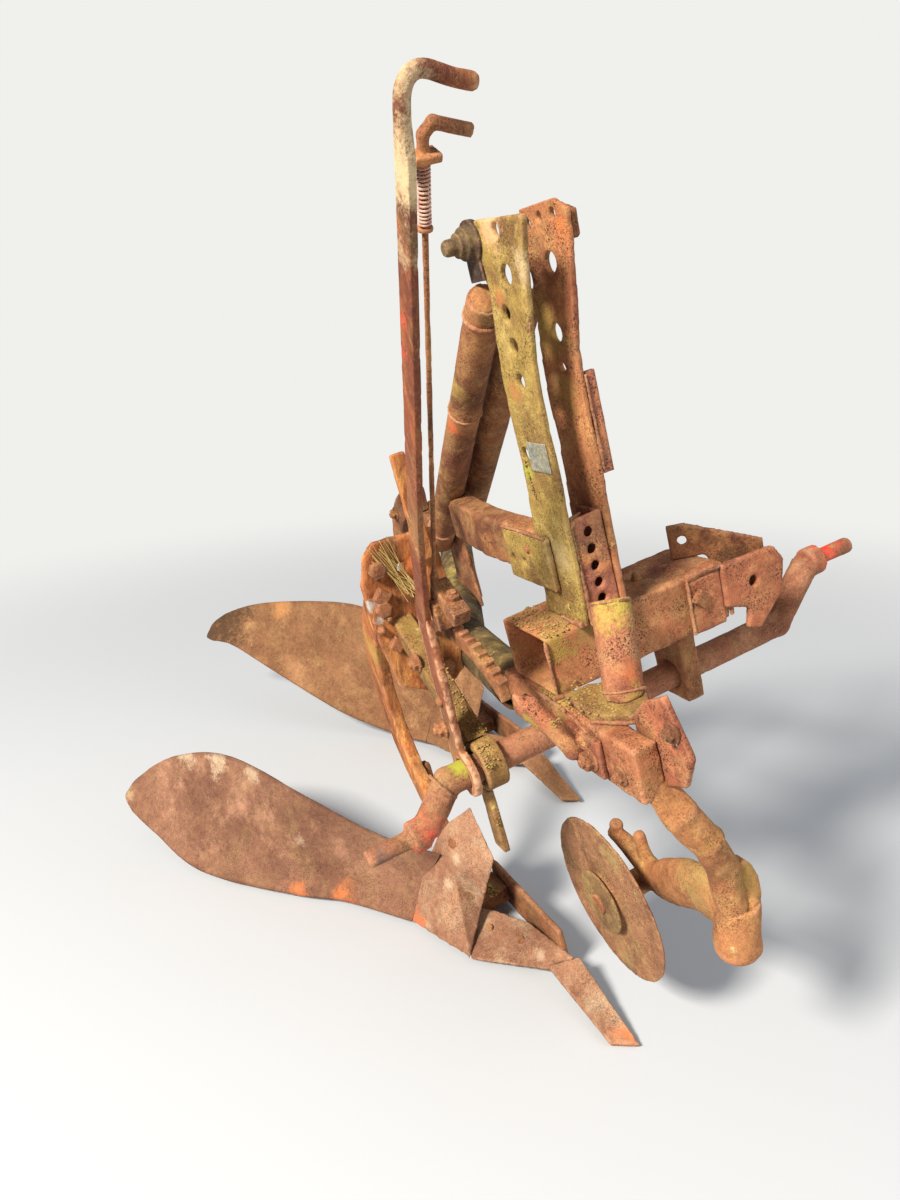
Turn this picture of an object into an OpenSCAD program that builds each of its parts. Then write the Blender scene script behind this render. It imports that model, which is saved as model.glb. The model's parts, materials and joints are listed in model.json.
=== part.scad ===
// Mounted two-furrow right-hand moldboard plough, parked on its shares and boards. Units: mm.
// Sizes are written in the plough's own frame: X to its left, Y to its rear, Z up from the front share's tip.

/* [Stance] */
// Lean of the parked plough towards its boards, degrees
park_lean = 12; // [0:0.5:14]
// Nose-up pitch of the parked plough, degrees
park_pitch = 3; // [0:0.5:4]
// Row X of the front share's tip
place_x = 84.8; // [-500:0.1:500]
// Row Y of the front share's tip
place_y = -757.4; // [-2000:0.1:500]
// Row height of the front share's tip
place_z = 10.5; // [0:0.1:40]

/* [Bodies] */
// Sideways step from the front body to the rear body
body_step = 316; // [250:1:360]
// Distance along travel between the bodies
body_pitch = 680; // [600:1:800]
// Drop of the rear body against the front body
body_drop = 26; // [20:1:30]
// Board plate thickness
board_t = 8; // [5:0.5:12]
// Hollow of the board's working face
board_hollow = 34; // [10:1:60]
// Landside bar thickness
landside_t = 12; // [8:1:18]
// Landside bar height
landside_h = 82; // [60:1:110]
// Rear landside length
landside_len = 470; // [380:1:520]
// Front landside length
front_landside_len = 350; // [250:1:380]
// Sole height of the landsides over the share tip
sole_z = 18; // [10:1:30]

/* [Legs] */
// Leg bar thickness
leg_t = 24; // [18:1:32]
// Leg bar width
leg_w = 58; // [45:1:75]
// Radius of the leg's curve
leg_r = 262; // [220:1:300]
// Leg plane, right of the land face
leg_x = 105; // [80:1:120]

/* [Frame] */
// Front beam width
beam_w = 38; // [32:1:60]
// Front beam height
beam_h = 80; // [60:1:100]
// Front beam nose, ahead of the share tip
beam_nose = 189; // [150:1:230]
// Front beam underside height
beam_z = 565; // [520:1:620]
// Main tube outside diameter
tube_d = 76; // [60:1:90]
// Frame tube wall
tube_wall = 6; // [4:0.5:9]
// Cross beam length
cross_len = 306; // [260:1:360]
// Cross beam depth along travel
cross_d = 125; // [90:1:150]
// Cross beam height
cross_h = 90; // [70:1:110]

/* [Headstock] */
// Headstock height over the cross beam
mast_h = 531; // [420:1:600]
// Headstock plate thickness
mast_t = 10; // [8:0.5:14]
// Gap between the headstock plates
mast_gap = 52; // [40:1:70]
// Outer face of the right headstock plate, left of the share tip
mast_x = 60; // [40:1:80]
// Top link hole diameter
top_hole_d = 25.4; // [19:0.1:25.4]
// Strut tube diameter
strut_d = 50; // [38:1:60]
// Front brace tube diameter
brace_d = 55; // [40:1:65]

/* [Cross shaft] */
// Cross shaft diameter
shaft_d = 45; // [35:1:55]
// Shaft centre height
shaft_z = 535; // [500:1:536]
// Shaft centre behind the share tip
shaft_y = 108; // [90:1:130]
// Right crank drop
throw_right = 60; // [40:1:80]
// Left crank rise
throw_left = 80; // [50:1:100]
// Hitch pin diameter
pin_d = 28; // [22:0.1:36.6]
// Hitch pin length
pin_len = 70; // [50:1:90]

/* [Lever] */
// Lever bar width
lever_w = 38; // [25:1:50]
// Lever bar thickness
lever_t = 12; // [8:1:18]
// Lever length above its bend
lever_len = 650; // [450:1:700]
// Lever lean above its bend, degrees forward of upright
lever_lean = 33; // [25:0.5:40]
// Toothed quadrant radius
quadrant_r = 236; // [200:1:260]
// Quadrant plate thickness
quadrant_t = 16; // [10:1:22]

/* [Coulter] */
// Disc diameter
disc_d = 284; // [260:1:300]
// Disc thickness
disc_t = 5; // [3:0.5:8]
// Stem diameter
stem_d = 36; // [28:1:42]
// Swivel barrel diameter
barrel_d = 58; // [50:1:66]

/* [Hidden] */
$fn = 40;
fit = 0.3;
play = 0.06;
beam_x = -6;
beam_back = 150;
beam_top = beam_z + beam_h;
cross_x = 5;
cross_y = 0;
cross_top = beam_top + cross_h;
rear_at = [body_step, body_pitch, -body_drop];
mast_x2 = mast_x + mast_t + mast_gap;
shaft_at = [0, shaft_y, shaft_z];
leg_c = [0, 240, 510];
leg_a0 = -46;
leg_a1 = 74;
rear_leg_a1 = 92;
clamp_y = 338;
clamp_t = 16;
lever_x = -124;
disc_at = [46, 80, 222];
swivel_at = [98, -196];
barrel_z0 = 250;
barrel_z1 = 372;
quad_x = -90;
quad_a0 = 86;
quad_a1 = 132;
tooth_pitch = 4.2;
eye_x = -66;
eye_w = 36;
hanger_x = 258;
hanger_w = 32;

// Moves the plough's own frame to where it stands.
module stand() { translate([place_x, place_y, place_z]) rotate([park_pitch * -1, -park_lean, 0]) children(); }

// A straight round bar from a to b.
module bar(a, b, d) {
  v = b - a; l = norm(v);
  translate(a) rotate([0, acos(v.z / l), atan2(v.y, v.x)]) cylinder(d = d, h = l);
}

// A bent round bar through a list of places, with a forged knuckle at each bend.
module bent_bar(path, d, knuckle = 1.07) {
  for (i = [0 : len(path) - 2]) bar(path[i], path[i + 1], d);
  for (i = [1 : len(path) - 2]) translate(path[i]) sphere(d = d * knuckle);
}

// A bar of rectangular section from a to b, w across and h upright.
module flat_bar(a, b, w, h) {
  v = b - a; l = norm(v);
  translate(a) rotate([0, -asin(v.z / l), 0] + [0, 0, atan2(v.y, v.x)])
    translate([0, -w / 2, -h / 2]) cube([l, w, h]);
}

// A plate that fills a ring of corners, t thick along n.
module skin(ring, n, t) {
  k = len(ring); u = n / norm(n) * t;
  c0 = centre(ring);
  polyhedron(points = concat(ring, [for (p = ring) p + u], [c0, c0 + u]),
    faces = concat([for (i = [0 : k - 1]) [(i + 1) % k, i, 2 * k]],
      [for (i = [0 : k - 1]) [k + i, k + (i + 1) % k, 2 * k + 1]],
      [for (i = [0 : k - 1]) [i, (i + 1) % k, k + (i + 1) % k]],
      [for (i = [0 : k - 1]) [i, k + (i + 1) % k, k + i]]), convexity = 4);
}

function total(v, i = 0) = i == len(v) - 1 ? v[i] : v[i] + total(v, i + 1);
function centre(ring) = total(ring) / len(ring);

// A plate outline in the YZ plane, t thick towards +X from x.
module yz_plate(x, outline, t) {
  translate([x, 0, 0]) rotate([90, 0, 90]) linear_extrude(t, convexity = 4) polygon(outline);
}

// A plate outline in the XZ plane, t thick towards -Y from y.
module xz_plate(y, outline, t) {
  translate([0, y, 0]) rotate([90, 0, 0]) linear_extrude(t, convexity = 4) polygon(outline);
}

// A hexagon bolt head along +X.
module hex_x(p, af, h) { translate(p) rotate([0, 90, 0]) cylinder(d = af / cos(30), h = h, $fn = 6); }

// A hexagon bolt head along -Y.
module hex_y(p, af, h) { translate(p) rotate([90, 0, 0]) cylinder(d = af / cos(30), h = h, $fn = 6); }

// Frame

module front_beam() color("#8a3b22") stand() difference() {
  translate([beam_x, -beam_nose, beam_z]) cube([beam_w, beam_nose + beam_back, beam_h]);
  translate([beam_x + tube_wall, -beam_nose + tube_wall, beam_z + tube_wall])
    cube([beam_w - 2 * tube_wall, beam_nose + beam_back - 2 * tube_wall, beam_h - 2 * tube_wall]);
}

tube_z = beam_z + 39;
tube_path = [[14, beam_back - 20, tube_z], [44, 410, tube_z], [body_step - 48, body_pitch + 250, tube_z]];

// The tube is open at both ends and forged solid at its bend.
module main_tube() color("#5b5034") stand() difference() {
  bent_bar(tube_path, tube_d);
  bar(tube_path[0], tube_path[0] * 0.2 + tube_path[1] * 0.8, tube_d - 2 * tube_wall);
  bar(tube_path[2], tube_path[2] * 0.12 + tube_path[1] * 0.88, tube_d - 2 * tube_wall);
  translate([-100, beam_back - 100, 500]) cube([250, 100, 250]);
}

module cross_beam() color("#8a4a2b") stand() difference() {
  translate([cross_x, cross_y, beam_top]) cube([cross_len, cross_d, cross_h]);
  translate([cross_x - 1, cross_y + tube_wall, beam_top + tube_wall])
    cube([cross_len + 2, cross_d - 2 * tube_wall, cross_h - 2 * tube_wall]);
}

lap_w = 60;
lap_t = 8;
hook_x = cross_x + cross_len - 14;

module cross_lap() color("#8f4227") stand()
  translate([hook_x - lap_w, cross_y - lap_t, beam_top]) cube([lap_w, lap_t, cross_h - 6]);

module end_hook() color("#9a4a2c") stand() difference() {
  xz_plate(cross_y, [[hook_x, cross_top], [396, 730], [412, 704], [404, 656], [352, 612], [330, 620],
    [338, 652], [hook_x, 668]], 12);
  translate([352, cross_y + 1, 690]) rotate([90, 0, 0]) cylinder(d = 17, h = 14);
}

plate_run = 136;
plate_turn = -34;

module rear_plate() color("#94492d") stand() difference() {
  translate([278, 78, 0]) rotate([0, 0, plate_turn]) difference() {
    xz_plate(0, [[0, cross_top], [0, 790], [26, 790], [plate_run, 744], [plate_run, 650], [52, 650],
      [52, cross_top]], 10);
    translate([20, 1, 764]) rotate([90, 0, 0]) cylinder(d = 14, h = 12);
  }
  translate([200, cross_y - 50, 600]) cube([300, 50, 300]);
}

// Headstock

// plate outline: depth, share of the height
mast_back = [[86, 0], [84, 0.032], [72, 0.183], [63, 0.32], [58, 0.444], [60, 0.561], [56, 0.648], [47, 0.763],
  [36, 0.847], [51, 0.917], [37, 1]];
mast_front = [[-81, 0.981], [-67, 0.915], [-50, 0.793], [-32, 0.672], [-27, 0.589], [-26, 0.49], [-28, 0.401],
  [-25, 0.296], [-20, 0]];
right_top = [[33, 0.998], [-45, 0.998], [-72, 0.972]];

// hole table: depth, share of the height, diameter
MH_Y = 0; MH_Z = 1; MH_D = 2;
link_hole = [-15, 0.87, top_hole_d];
left_holes = [link_hole, [-13, 0.966, 18], [7, 0.789, 20], [6, 0.714, 20], [9, 0.631, 20], [41, 0.448, 20]];
right_holes = [link_hole, [20, 0.962, 12], [-10, 0.968, 12], [-40, 0.968, 12], [5, 0.714, 24], [9, 0.633, 14]];

function mast_z(share) = cross_top + share * mast_h;

module mast_plate(x, outline, holes) difference() {
  yz_plate(x, [for (p = outline) [p.x, mast_z(p.y)]], mast_t);
  for (r = holes) translate([x - 1, r[MH_Y], mast_z(r[MH_Z])]) rotate([0, 90, 0]) cylinder(d = r[MH_D], h = mast_t + 2);
}

module headstock_right() color("#7a7440") stand() mast_plate(mast_x, concat(mast_back, mast_front), left_holes);
module headstock_left() color("#8d4a2c") stand()
  mast_plate(mast_x2, concat([for (p = mast_back) if (p.y < 1) p], right_top, [for (p = mast_front) if (p.y < 0.95) p]),
    right_holes);

foot_h = 150;
foot_d = 62;
foot_t = 8;
foot_y = -18;
foot_x = mast_x + mast_t;
foot_holes = 5;
foot_pitch = 24;

module headstock_foot() color("#93492c") stand() difference() {
  translate([foot_x, foot_y, cross_top]) cube([mast_gap, foot_d, foot_h]);
  translate([foot_x + foot_t, foot_y + foot_t, cross_top + foot_t]) cube([mast_gap - 2 * foot_t, foot_d, foot_h]);
  for (i = [1 : foot_holes]) translate([foot_x + mast_gap / 2, foot_y - 1, cross_top + foot_h - i * foot_pitch])
    rotate([-90, 0, 0]) cylinder(d = 14, h = foot_t + 2);
}

module weld_strip() color("#7b3a25") stand()
  translate([mast_x2 + mast_t, -26, mast_z(0.367)]) cube([16, 10, mast_h / 4]);

plate_y = -22;
module blank_plate() color("#8e918c") stand() translate([mast_x - 2, plate_y, mast_z(0.41)]) cube([2, 50, 40]);

seat_t = 14;
brace_foot_at = [[-2, -96], [32, -140], [64, -136], [84, -98], [66, -44], [40, -20], [4, -20]];
brace_b = [60, -84, beam_top + seat_t];
brace_a = [90, foot_y - brace_d / 2 + 1, cross_top + foot_h / 4];

module front_brace() color("#8b4a2c") stand() difference() {
  bar(brace_a, brace_b * 1.3 - brace_a * 0.3, brace_d);
  translate([-100, -200, beam_top + seat_t - 100]) cube([300, 200, 100]);
  translate([0, cross_y, beam_top]) cube([300, 100, 200]);
  translate([0, foot_y, cross_top]) cube([300, 100, foot_h]);
}

module brace_foot() color("#84502f") stand() translate([0, 0, beam_top]) linear_extrude(seat_t) polygon(brace_foot_at);

strut_eye_y = 545;
lug_x = 128;
strut_top = [[mast_x + 6, 60, mast_z(0.83)], [mast_x2 + 5, 75, mast_z(0.8)]];
strut_end = [[lug_x - 27, strut_eye_y, 760], [lug_x + 27, strut_eye_y, 760]];
strut_wall = 5;

module strut_hole() { translate([60, strut_eye_y, strut_end[0].z]) rotate([0, 90, 0]) cylinder(d = 20, h = 200); }

// A strut tube, notched round the headstock plate it is welded to.
module strut(i) difference() {
  bar(strut_top[i], strut_end[i] + (strut_end[i] - strut_top[i]) * 0.04, strut_d);
  bar(strut_top[i] * 2 - strut_end[i], strut_end[i] - (strut_end[i] - strut_top[i]) * 0.08, strut_d - 2 * strut_wall);
  yz_plate(i == 0 ? mast_x : mast_x2, [for (p = concat(mast_back, mast_front)) [p.x, mast_z(p.y)]], mast_t);
  translate([mast_x - 100, -100, cross_top]) cube([300, 100 + 38, mast_h + 100]);
  strut_hole();
  translate([lug_x - 4, 400, 600]) cube([8, 300, 250]);
}

module strut_front() color("#6f4a2a") stand() strut(0);
module strut_rear() color("#6a3f28") stand() strut(1);

module strut_lug() color("#6f4a2a") stand() difference() {
  yz_plate(lug_x - 4, [[strut_eye_y - 46, 610], [strut_eye_y - 32, 786], [strut_eye_y + 28, 790],
    [strut_eye_y + 50, 610]], 8);
  bent_bar(tube_path, tube_d);
  strut_hole();
}

module strut_bolt() color("#7a3a22") stand() {
  translate([70, strut_eye_y, strut_end[0].z]) rotate([0, 90, 0]) cylinder(d = 20, h = 116);
  hex_x([60, strut_eye_y, strut_end[0].z], 32, 11);
}

// The knob of the top link's store, behind the right plate's edge.
knob_at = [mast_x + mast_t / 2, 56, mast_z(0.91)];

module top_link_pin() color("#3d3029") stand() difference() {
  union() {
    translate(knob_at) rotate([0, -90, 0]) cylinder(d = 22, h = 58);
    hex_x(knob_at - [58, 0, 0], 40, 30);
  }
  mast_plate(mast_x, concat(mast_back, mast_front), []);
}

brace_w = 40;
brace_h = 72;
brace_z = cross_top + 87;
brace_outline = [[mast_x, 60], [mast_x + brace_w, 60], [mast_x + brace_w, 258], [mast_x + brace_w + 18, 410],
  [mast_x + 18, 414], [mast_x, 262]];

module bent_brace() color("#87492b") stand() difference() {
  translate([0, 0, brace_z - brace_h / 2]) linear_extrude(brace_h) polygon(brace_outline);
  translate([mast_x - 1, 50, brace_z - brace_h]) cube([mast_t + 1, 30, brace_h * 2]);
  bar(strut_top[0], strut_end[0], strut_d);
}

module brace_post() color("#7c4a2c") stand() difference() {
  xz_plate(strut_eye_y + 36, [[lug_x + 4, 600], [lug_x + 34, 600], [lug_x + 34, 690], [lug_x + 4, 730]], 12);
  bent_bar(tube_path, tube_d);
}

module holed_plate() color("#8a5a30") stand() difference() {
  translate([mast_x - 10, 24, cross_top + 46]) cube([10, 128, 78]);
  for (y = [100, 135]) translate([mast_x - 11, y, cross_top + 78]) rotate([0, 90, 0]) cylinder(d = 11, h = 12);
}

// Right side of the frame

module leg_plate() color("#a3502a") stand() difference() {
  xz_plate(clamp_y, [[-134, 792], [-118, 838], [-96, 856], [10, 848], [10, 600], [-40, 566], [-62, 570],
    [-122, 606], [-134, 700]], clamp_t);
  bar(tube_path[0], tube_path[1], tube_d);
  translate([-60, clamp_y + 1, 800]) rotate([90, 0, 0]) cylinder(d = 16, h = clamp_t + 2);
}

module red_strip() color("#a02c1f") stand() difference() {
  translate([-32, clamp_y - clamp_t - 12, 800]) cube([26, 12, 180]);
  for (z = [880, 950]) translate([-19, clamp_y - clamp_t + 1, z]) rotate([90, 0, 0]) cylinder(d = 9, h = clamp_t + 2);
}

// bolt table: x, z
plate_bolt_at = [[-104, 812], [-36, 690], [-36, 610], [-112, 748]];

module plate_bolts() color("#7d3b22") stand()
  for (p = plate_bolt_at) hex_y([p.x, clamp_y - clamp_t, p.y], 26, 14);

module shaft_carrier() color("#78703a") stand() difference() {
  flat_bar([eye_x - eye_w / 2, clamp_y + 2, 716], [eye_x - eye_w / 2, shaft_y, shaft_z + 14], eye_w, 34);
  translate([-200, clamp_y - clamp_t, 500]) cube([300, 100, 400]);
  translate([eye_x - eye_w - 1, shaft_y, shaft_z]) rotate([0, 90, 0]) cylinder(d = shaft_d + 34, h = eye_w + 2);
}

module shaft_eye() color("#6e6a3a") stand() difference() {
  translate([eye_x - eye_w, shaft_y, shaft_z]) rotate([0, 90, 0]) cylinder(d = shaft_d + 34, h = eye_w);
  translate([eye_x - eye_w - 1, shaft_y, shaft_z]) rotate([0, 90, 0]) cylinder(d = shaft_d + 2 * fit, h = eye_w + 2);
}

module shaft_hanger() color("#7c452c") stand() difference() {
  translate([hanger_x, shaft_y - 40, shaft_z - 40]) cube([hanger_w, 80, beam_top - shaft_z + 40]);
  translate([hanger_x - 1, shaft_y, shaft_z]) rotate([0, 90, 0]) cylinder(d = shaft_d + 2 * fit, h = hanger_w + 2);
}

module hanging_bar() color("#6c6238") stand() difference() {
  translate([eye_x - eye_w, 92, 386]) cube([12, 34, shaft_z - 20 - 386]);
  translate([eye_x - eye_w - 1, shaft_y, shaft_z]) rotate([0, 90, 0]) cylinder(d = shaft_d + 34, h = eye_w + 2);
}

function polar(r, a) = [r * cos(a), r * sin(a)];

tooth_h = 8;
tooth_count = floor((quad_a1 - quad_a0 - 2) / tooth_pitch);
root_r = quadrant_r - 6;

// Square teeth along the outer arc, then back along the inner arc.
quadrant_outline = concat(
  [polar(root_r, quad_a0)],
  [for (k = [0 : tooth_count - 1]) for (c = [[0, 0.5], [tooth_h, 0.5], [tooth_h, 1], [0, 1]])
    polar(root_r + c[0], quad_a0 + (k + c[1]) * tooth_pitch)],
  [for (a = [quad_a1 : -5 : quad_a0]) polar(quadrant_r - 26, a)]);

module quadrant() color("#8c4a2c") stand() translate([quad_x, shaft_y, shaft_z]) rotate([90, 0, 90])
  linear_extrude(height = quadrant_t) polygon(quadrant_outline);

arm_path = [[quad_x + quadrant_t - 12, -28, 692], [-58, -46, 680], [-46, -62, 652], [-30, -80, 612], [-8, -84, 602]];

module quadrant_arm() color("#96492b") stand() difference() {
  union() {
    bent_bar(arm_path, 24);
    translate([beam_x - 10, -120, 574]) cube([10, 84, 58]);
  }
  translate([quad_x - 60, -100, 600]) cube([60 + quadrant_t, 200, 200]);
  translate([beam_x, -120, 560]) cube([40, 100, 100]);
}

module beam_lug() color("#84482b") stand() difference() {
  yz_plate(beam_x + beam_w, [[-250, 640], [-214, 712], [-170, 690], [-140, 660], [-140, 590], [-180, 572],
    [-226, 590]], 10);
  translate([beam_x + beam_w - 1, -216, 650]) rotate([0, 90, 0]) cylinder(d = 17, h = 12);
}

// Plough bodies, front one at the origin

module leg(a1) translate([-leg_x - leg_t / 2, leg_c.y, leg_c.z]) rotate([90, 0, 90])
  rotate([0, 0, leg_a0]) rotate_extrude(angle = a1 - leg_a0, $fn = 96)
    translate([leg_r - leg_w / 2, 0]) square([leg_w, leg_t]);

module frog() {
  yz_plate(-leg_x + leg_t / 2, frog_outline, 14);
  translate([-leg_x + leg_t / 2, 404, 40]) cube([leg_x - leg_t / 2 - landside_t, 66, 36]);
}

frog_outline = [[440, 386], [476, 376], [480, 250], [474, 110], [464, 40], [404, 40], [404, 84], [382, 100],
  [382, 180], [404, 210], [431, 240], [440, 264]];

module landside(l) difference() {
  translate([-landside_t, 480 - front_landside_len + 70, sole_z]) cube([landside_t, l - 70, landside_h]);
  share_solid();
  point_solid();
}

module point_solid() skin([[0, 0, 0], [4, 170, 58], [-44, 211, 36], [-41, 24, 10]], [0.2, 0.4, -1], 12);

module share_solid() skin([[0, 162, 53], [-26, 300, 64], [-62, 372, 66], [-84, 396, 70], [-153, 306, 50],
  [-44, 205, 30]], [0.5, 0.6, -1], 9);

module shin_solid() skin([[-50, 375, 298], [-56, 300, 226], [-90, 360, 92], [-153, 306, 50], [-207, 452, 70],
  [-150, 470, 150], [-112, 450, 215], [-90, 417, 260]], [0.5, 1, -0.2], board_t);

module point() point_solid();
module share() difference() { share_solid(); point_solid(); shin_solid(); }
module shin() shin_solid();

// board stations: share of the length, then lower and upper edge places
BS_U = 0; BS_L = 1; BS_H = 2;
front_rows = [
  [0.00, [-207, 452, 70], [-119, 424, 200]],
  [0.22, [-302, 574, 98], [-203, 520, 240]],
  [0.45, [-393, 655, 118], [-289, 620, 316]],
  [0.72, [-544, 820, 162], [-398, 820, 384]],
  [0.90, [-609, 960, 224], [-500, 960, 376]],
  [1.00, [-654, 1060, 286], [-602, 1040, 334]]];
rear_rows = [
  [0.00, [-207, 452, 70], [-96, 424, 262]],
  [0.10, [-252, 512, 88], [-136, 470, 318]],
  [0.22, [-297, 572, 112], [-170, 518, 400]],
  [0.45, [-378, 648, 180], [-245, 613, 466]],
  [0.72, [-500, 801, 318], [-375, 801, 482]],
  [0.90, [-568, 931, 386], [-482, 931, 477]],
  [1.00, [-630, 1024, 398], [-581, 1004, 455]]];

board_nu = 20;
board_nv = 8;

function cubic(a, b, c, d, t) = b + (c - a) * t / 2 + (a - b * 2.5 + c * 2 - d / 2) * t * t
  + (d / 2 - c * 1.5 + b * 1.5 - a / 2) * t * t * t;
function row_at(rows, u) = max([for (i = [0 : len(rows) - 2]) rows[i][BS_U] <= u ? i : 0]);
function edge(rows, u, k) = let (i = row_at(rows, u), n = len(rows) - 1,
    t = (u - rows[i][BS_U]) / (rows[i + 1][BS_U] - rows[i][BS_U]))
  cubic(rows[max(i - 1, 0)][k], rows[i][k], rows[i + 1][k], rows[min(i + 2, n)][k], t);
function board_at(rows, u, v) = let (l = edge(rows, u, BS_L), h = edge(rows, u, BS_H))
  l + (h - l) * v + [0.1, 0.8, -0.45] * board_hollow * sin(180 * v) * (1 - u * 0.6);

module board(rows) difference() { board_solid(rows); shin_solid(); }

module board_solid(rows) {
  n = board_nu + 1; m = board_nv + 1; k = n * m;
  front = [for (i = [0 : board_nu]) for (j = [0 : board_nv]) board_at(rows, i / board_nu, j / board_nv)];
  back = [for (p = front) p + [0.25, 0.85, -0.45] * board_t];
  function q(i, j) = i * m + j;
  quads = [for (i = [0 : board_nu - 1]) for (j = [0 : board_nv - 1]) [q(i, j), q(i + 1, j), q(i + 1, j + 1), q(i, j + 1)]];
  rim = concat([for (i = [0 : board_nu]) q(i, 0)], [for (j = [1 : board_nv]) q(board_nu, j)],
    [for (i = [board_nu - 1 : -1 : 0]) q(i, board_nv)], [for (j = [board_nv - 1 : -1 : 1]) q(0, j)]);
  faces = concat(
    [for (f = quads) [f[0], f[1], f[2]]], [for (f = quads) [f[0], f[2], f[3]]],
    [for (f = quads) [k + f[2], k + f[1], k + f[0]]], [for (f = quads) [k + f[3], k + f[2], k + f[0]]],
    [for (i = [0 : len(rim) - 1]) let (a = rim[i], b = rim[(i + 1) % len(rim)]) [b, a, k + a]],
    [for (i = [0 : len(rim) - 1]) let (a = rim[i], b = rim[(i + 1) % len(rim)]) [b, k + a, k + b]]);
  polyhedron(points = concat(front, back), faces = faces, convexity = 6);
}

module rear() stand() translate(rear_at) children();

module front_leg() color("#8f5a33") stand() difference() {
  leg(leg_a1);
  translate([-300, clamp_y - 200, 400]) cube([400, 200, 500]);
}
module front_frog() color("#7c4228") stand() frog();
module front_landside() color("#86452a") stand() landside(front_landside_len);
module front_share() color("#8b5137") stand() share();
module front_point() color("#94523a") stand() point();
module front_shin() color("#8d5840") stand() shin();
module front_board() color("#85503c") stand() board(front_rows);
module rear_leg() color("#7a4a2e") rear() leg(rear_leg_a1);
module rear_frog() color("#7c4228") rear() frog();
module rear_landside() color("#86452a") rear() landside(landside_len);
module rear_share() color("#8b5137") rear() share();
module rear_point() color("#94523a") rear() point();
module rear_shin() color("#8d5840") rear() shin();
module rear_board() color("#85503c") rear() board(rear_rows);
module rear_leg_head() color("#7a4a2e") stand() difference() {
  translate([body_step - leg_x - leg_t / 2, body_pitch + 192, tube_z + 36])
    cube([68, 54, leg_c.z - body_drop + leg_r - leg_w / 2 + 19 - tube_z - 36]);
  bent_bar(tube_path, tube_d);
  translate(rear_at) leg(rear_leg_a1 + 20);
}

// Cross shaft and its lever

shaft_right = -152;
shaft_left = 480;
crank_right = 54;
crank_left = 78;

collar_len = 26;

// A hitch pin with the collar it steps out of, along +X.
module hitch_pin() rotate([0, 90, 0]) {
  cylinder(d = shaft_d + 5, h = collar_len);
  cylinder(d = pin_d, h = collar_len + pin_len);
}

module cross_shaft() color("#8c4a30") stand() translate(shaft_at) {
  bent_bar([[shaft_right - crank_right, 0, -throw_right], [shaft_right, 0, 0], [shaft_left, 0, 0],
    [shaft_left + crank_left, 0, throw_left]], shaft_d);
  translate([shaft_right - crank_right, 0, -throw_right]) rotate([0, 0, 180]) hitch_pin();
  translate([shaft_left + crank_left, 0, throw_left]) hitch_pin();
}

// lever places behind and above the shaft: foot and bend
lever_foot = [24, 0];
lever_bend = [-12, 262];

// Above the bend, z runs along the lever.
module on_lever() { stand() translate(shaft_at + [0, lever_bend.x, lever_bend.y]) rotate([lever_lean, 0, 0]) children(); }

lever_side = lever_w / 2;
bend_turn = lever_lean / 2;
lever_outline = [lever_foot + [lever_side, -lever_side], lever_bend + lever_side * [1, 0.25],
  lever_bend + 40 * [-sin(lever_lean), cos(lever_lean)] + lever_side * [cos(lever_lean), sin(lever_lean)],
  lever_bend + 40 * [-sin(lever_lean), cos(lever_lean)] - lever_side * [cos(lever_lean), sin(lever_lean)],
  lever_bend - lever_side * [1, 0.25], lever_foot - [lever_side, lever_side]];

grip_path = [[0, 0, lever_len - 20], [0, 0, lever_len + 14], [14, 4, lever_len + 28], [32, 8, lever_len + 22],
  [70, 6, lever_len + 13]];
grip_d = 26;

module lever() color("#8a3a24") {
  stand() translate(shaft_at) difference() {
    union() {
      yz_plate(lever_x, lever_outline, lever_t);
      translate([lever_x, 0, 0]) rotate([0, 90, 0]) cylinder(d = shaft_d + 32, h = lever_t);
    }
    translate([lever_x - 1, 0, 0]) rotate([0, 90, 0]) cylinder(d = shaft_d, h = lever_t + 2);
  }
  on_lever() translate([lever_x, -lever_side, 20]) cube([lever_t, lever_w, lever_len - 20]);
  on_lever() translate([lever_x + lever_t / 2, 0, 0]) bent_bar(grip_path, grip_d);
}

rod_x = lever_x + lever_t + 12;
rod_d = 12;
dog_r = quadrant_r + 8;
dog_angle = 97;
rod_foot = [rod_x, 2, 24];
rod_top = [rod_x, 20, lever_len - 24];
rod_path = [rod_foot, rod_top, [rod_x + 8, 17, lever_len - 14], [rod_x + 42, 8, lever_len - 24]];
spring_at = [0.87, 0.95];

function on_rod(t) = rod_foot + (rod_top - rod_foot) * t;

module latch() color("#7c3b26") {
  on_lever() bent_bar(rod_path, rod_d);
  on_lever() translate([lever_x + lever_t, 8, lever_len - 46]) cube([26, 20, 8]);
  on_lever() translate([rod_x - 6, -62, 34]) cube([26, 68, 24]);
  stand() translate(shaft_at) rotate([dog_angle - 90, 0, 0]) translate([lever_x + lever_t, -10, dog_r])
    cube([quad_x + quadrant_t - lever_x - lever_t, 20, 42]);
}

module latch_spring() color("#5f3524") on_lever() difference() {
  bar(on_rod(spring_at[0]), on_rod(spring_at[1]), rod_d + 8);
  bar(on_rod(0.5), on_rod(1), rod_d + 2 * play);
}

// Coulter

stem_path = [[12, -160, beam_z - 18], [40, -196, 536], [76, -204, 486], [98, -196, 430]];

module coulter_stem() color("#8a4c30") stand() {
  bent_bar(concat(stem_path, [[swivel_at.x, swivel_at.y, barrel_z0 + 10]]), stem_d);
  translate([beam_x, -beam_nose + 4, beam_z - 30]) cube([beam_w, 56, 30]);
}

boss_x = 86;

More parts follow.
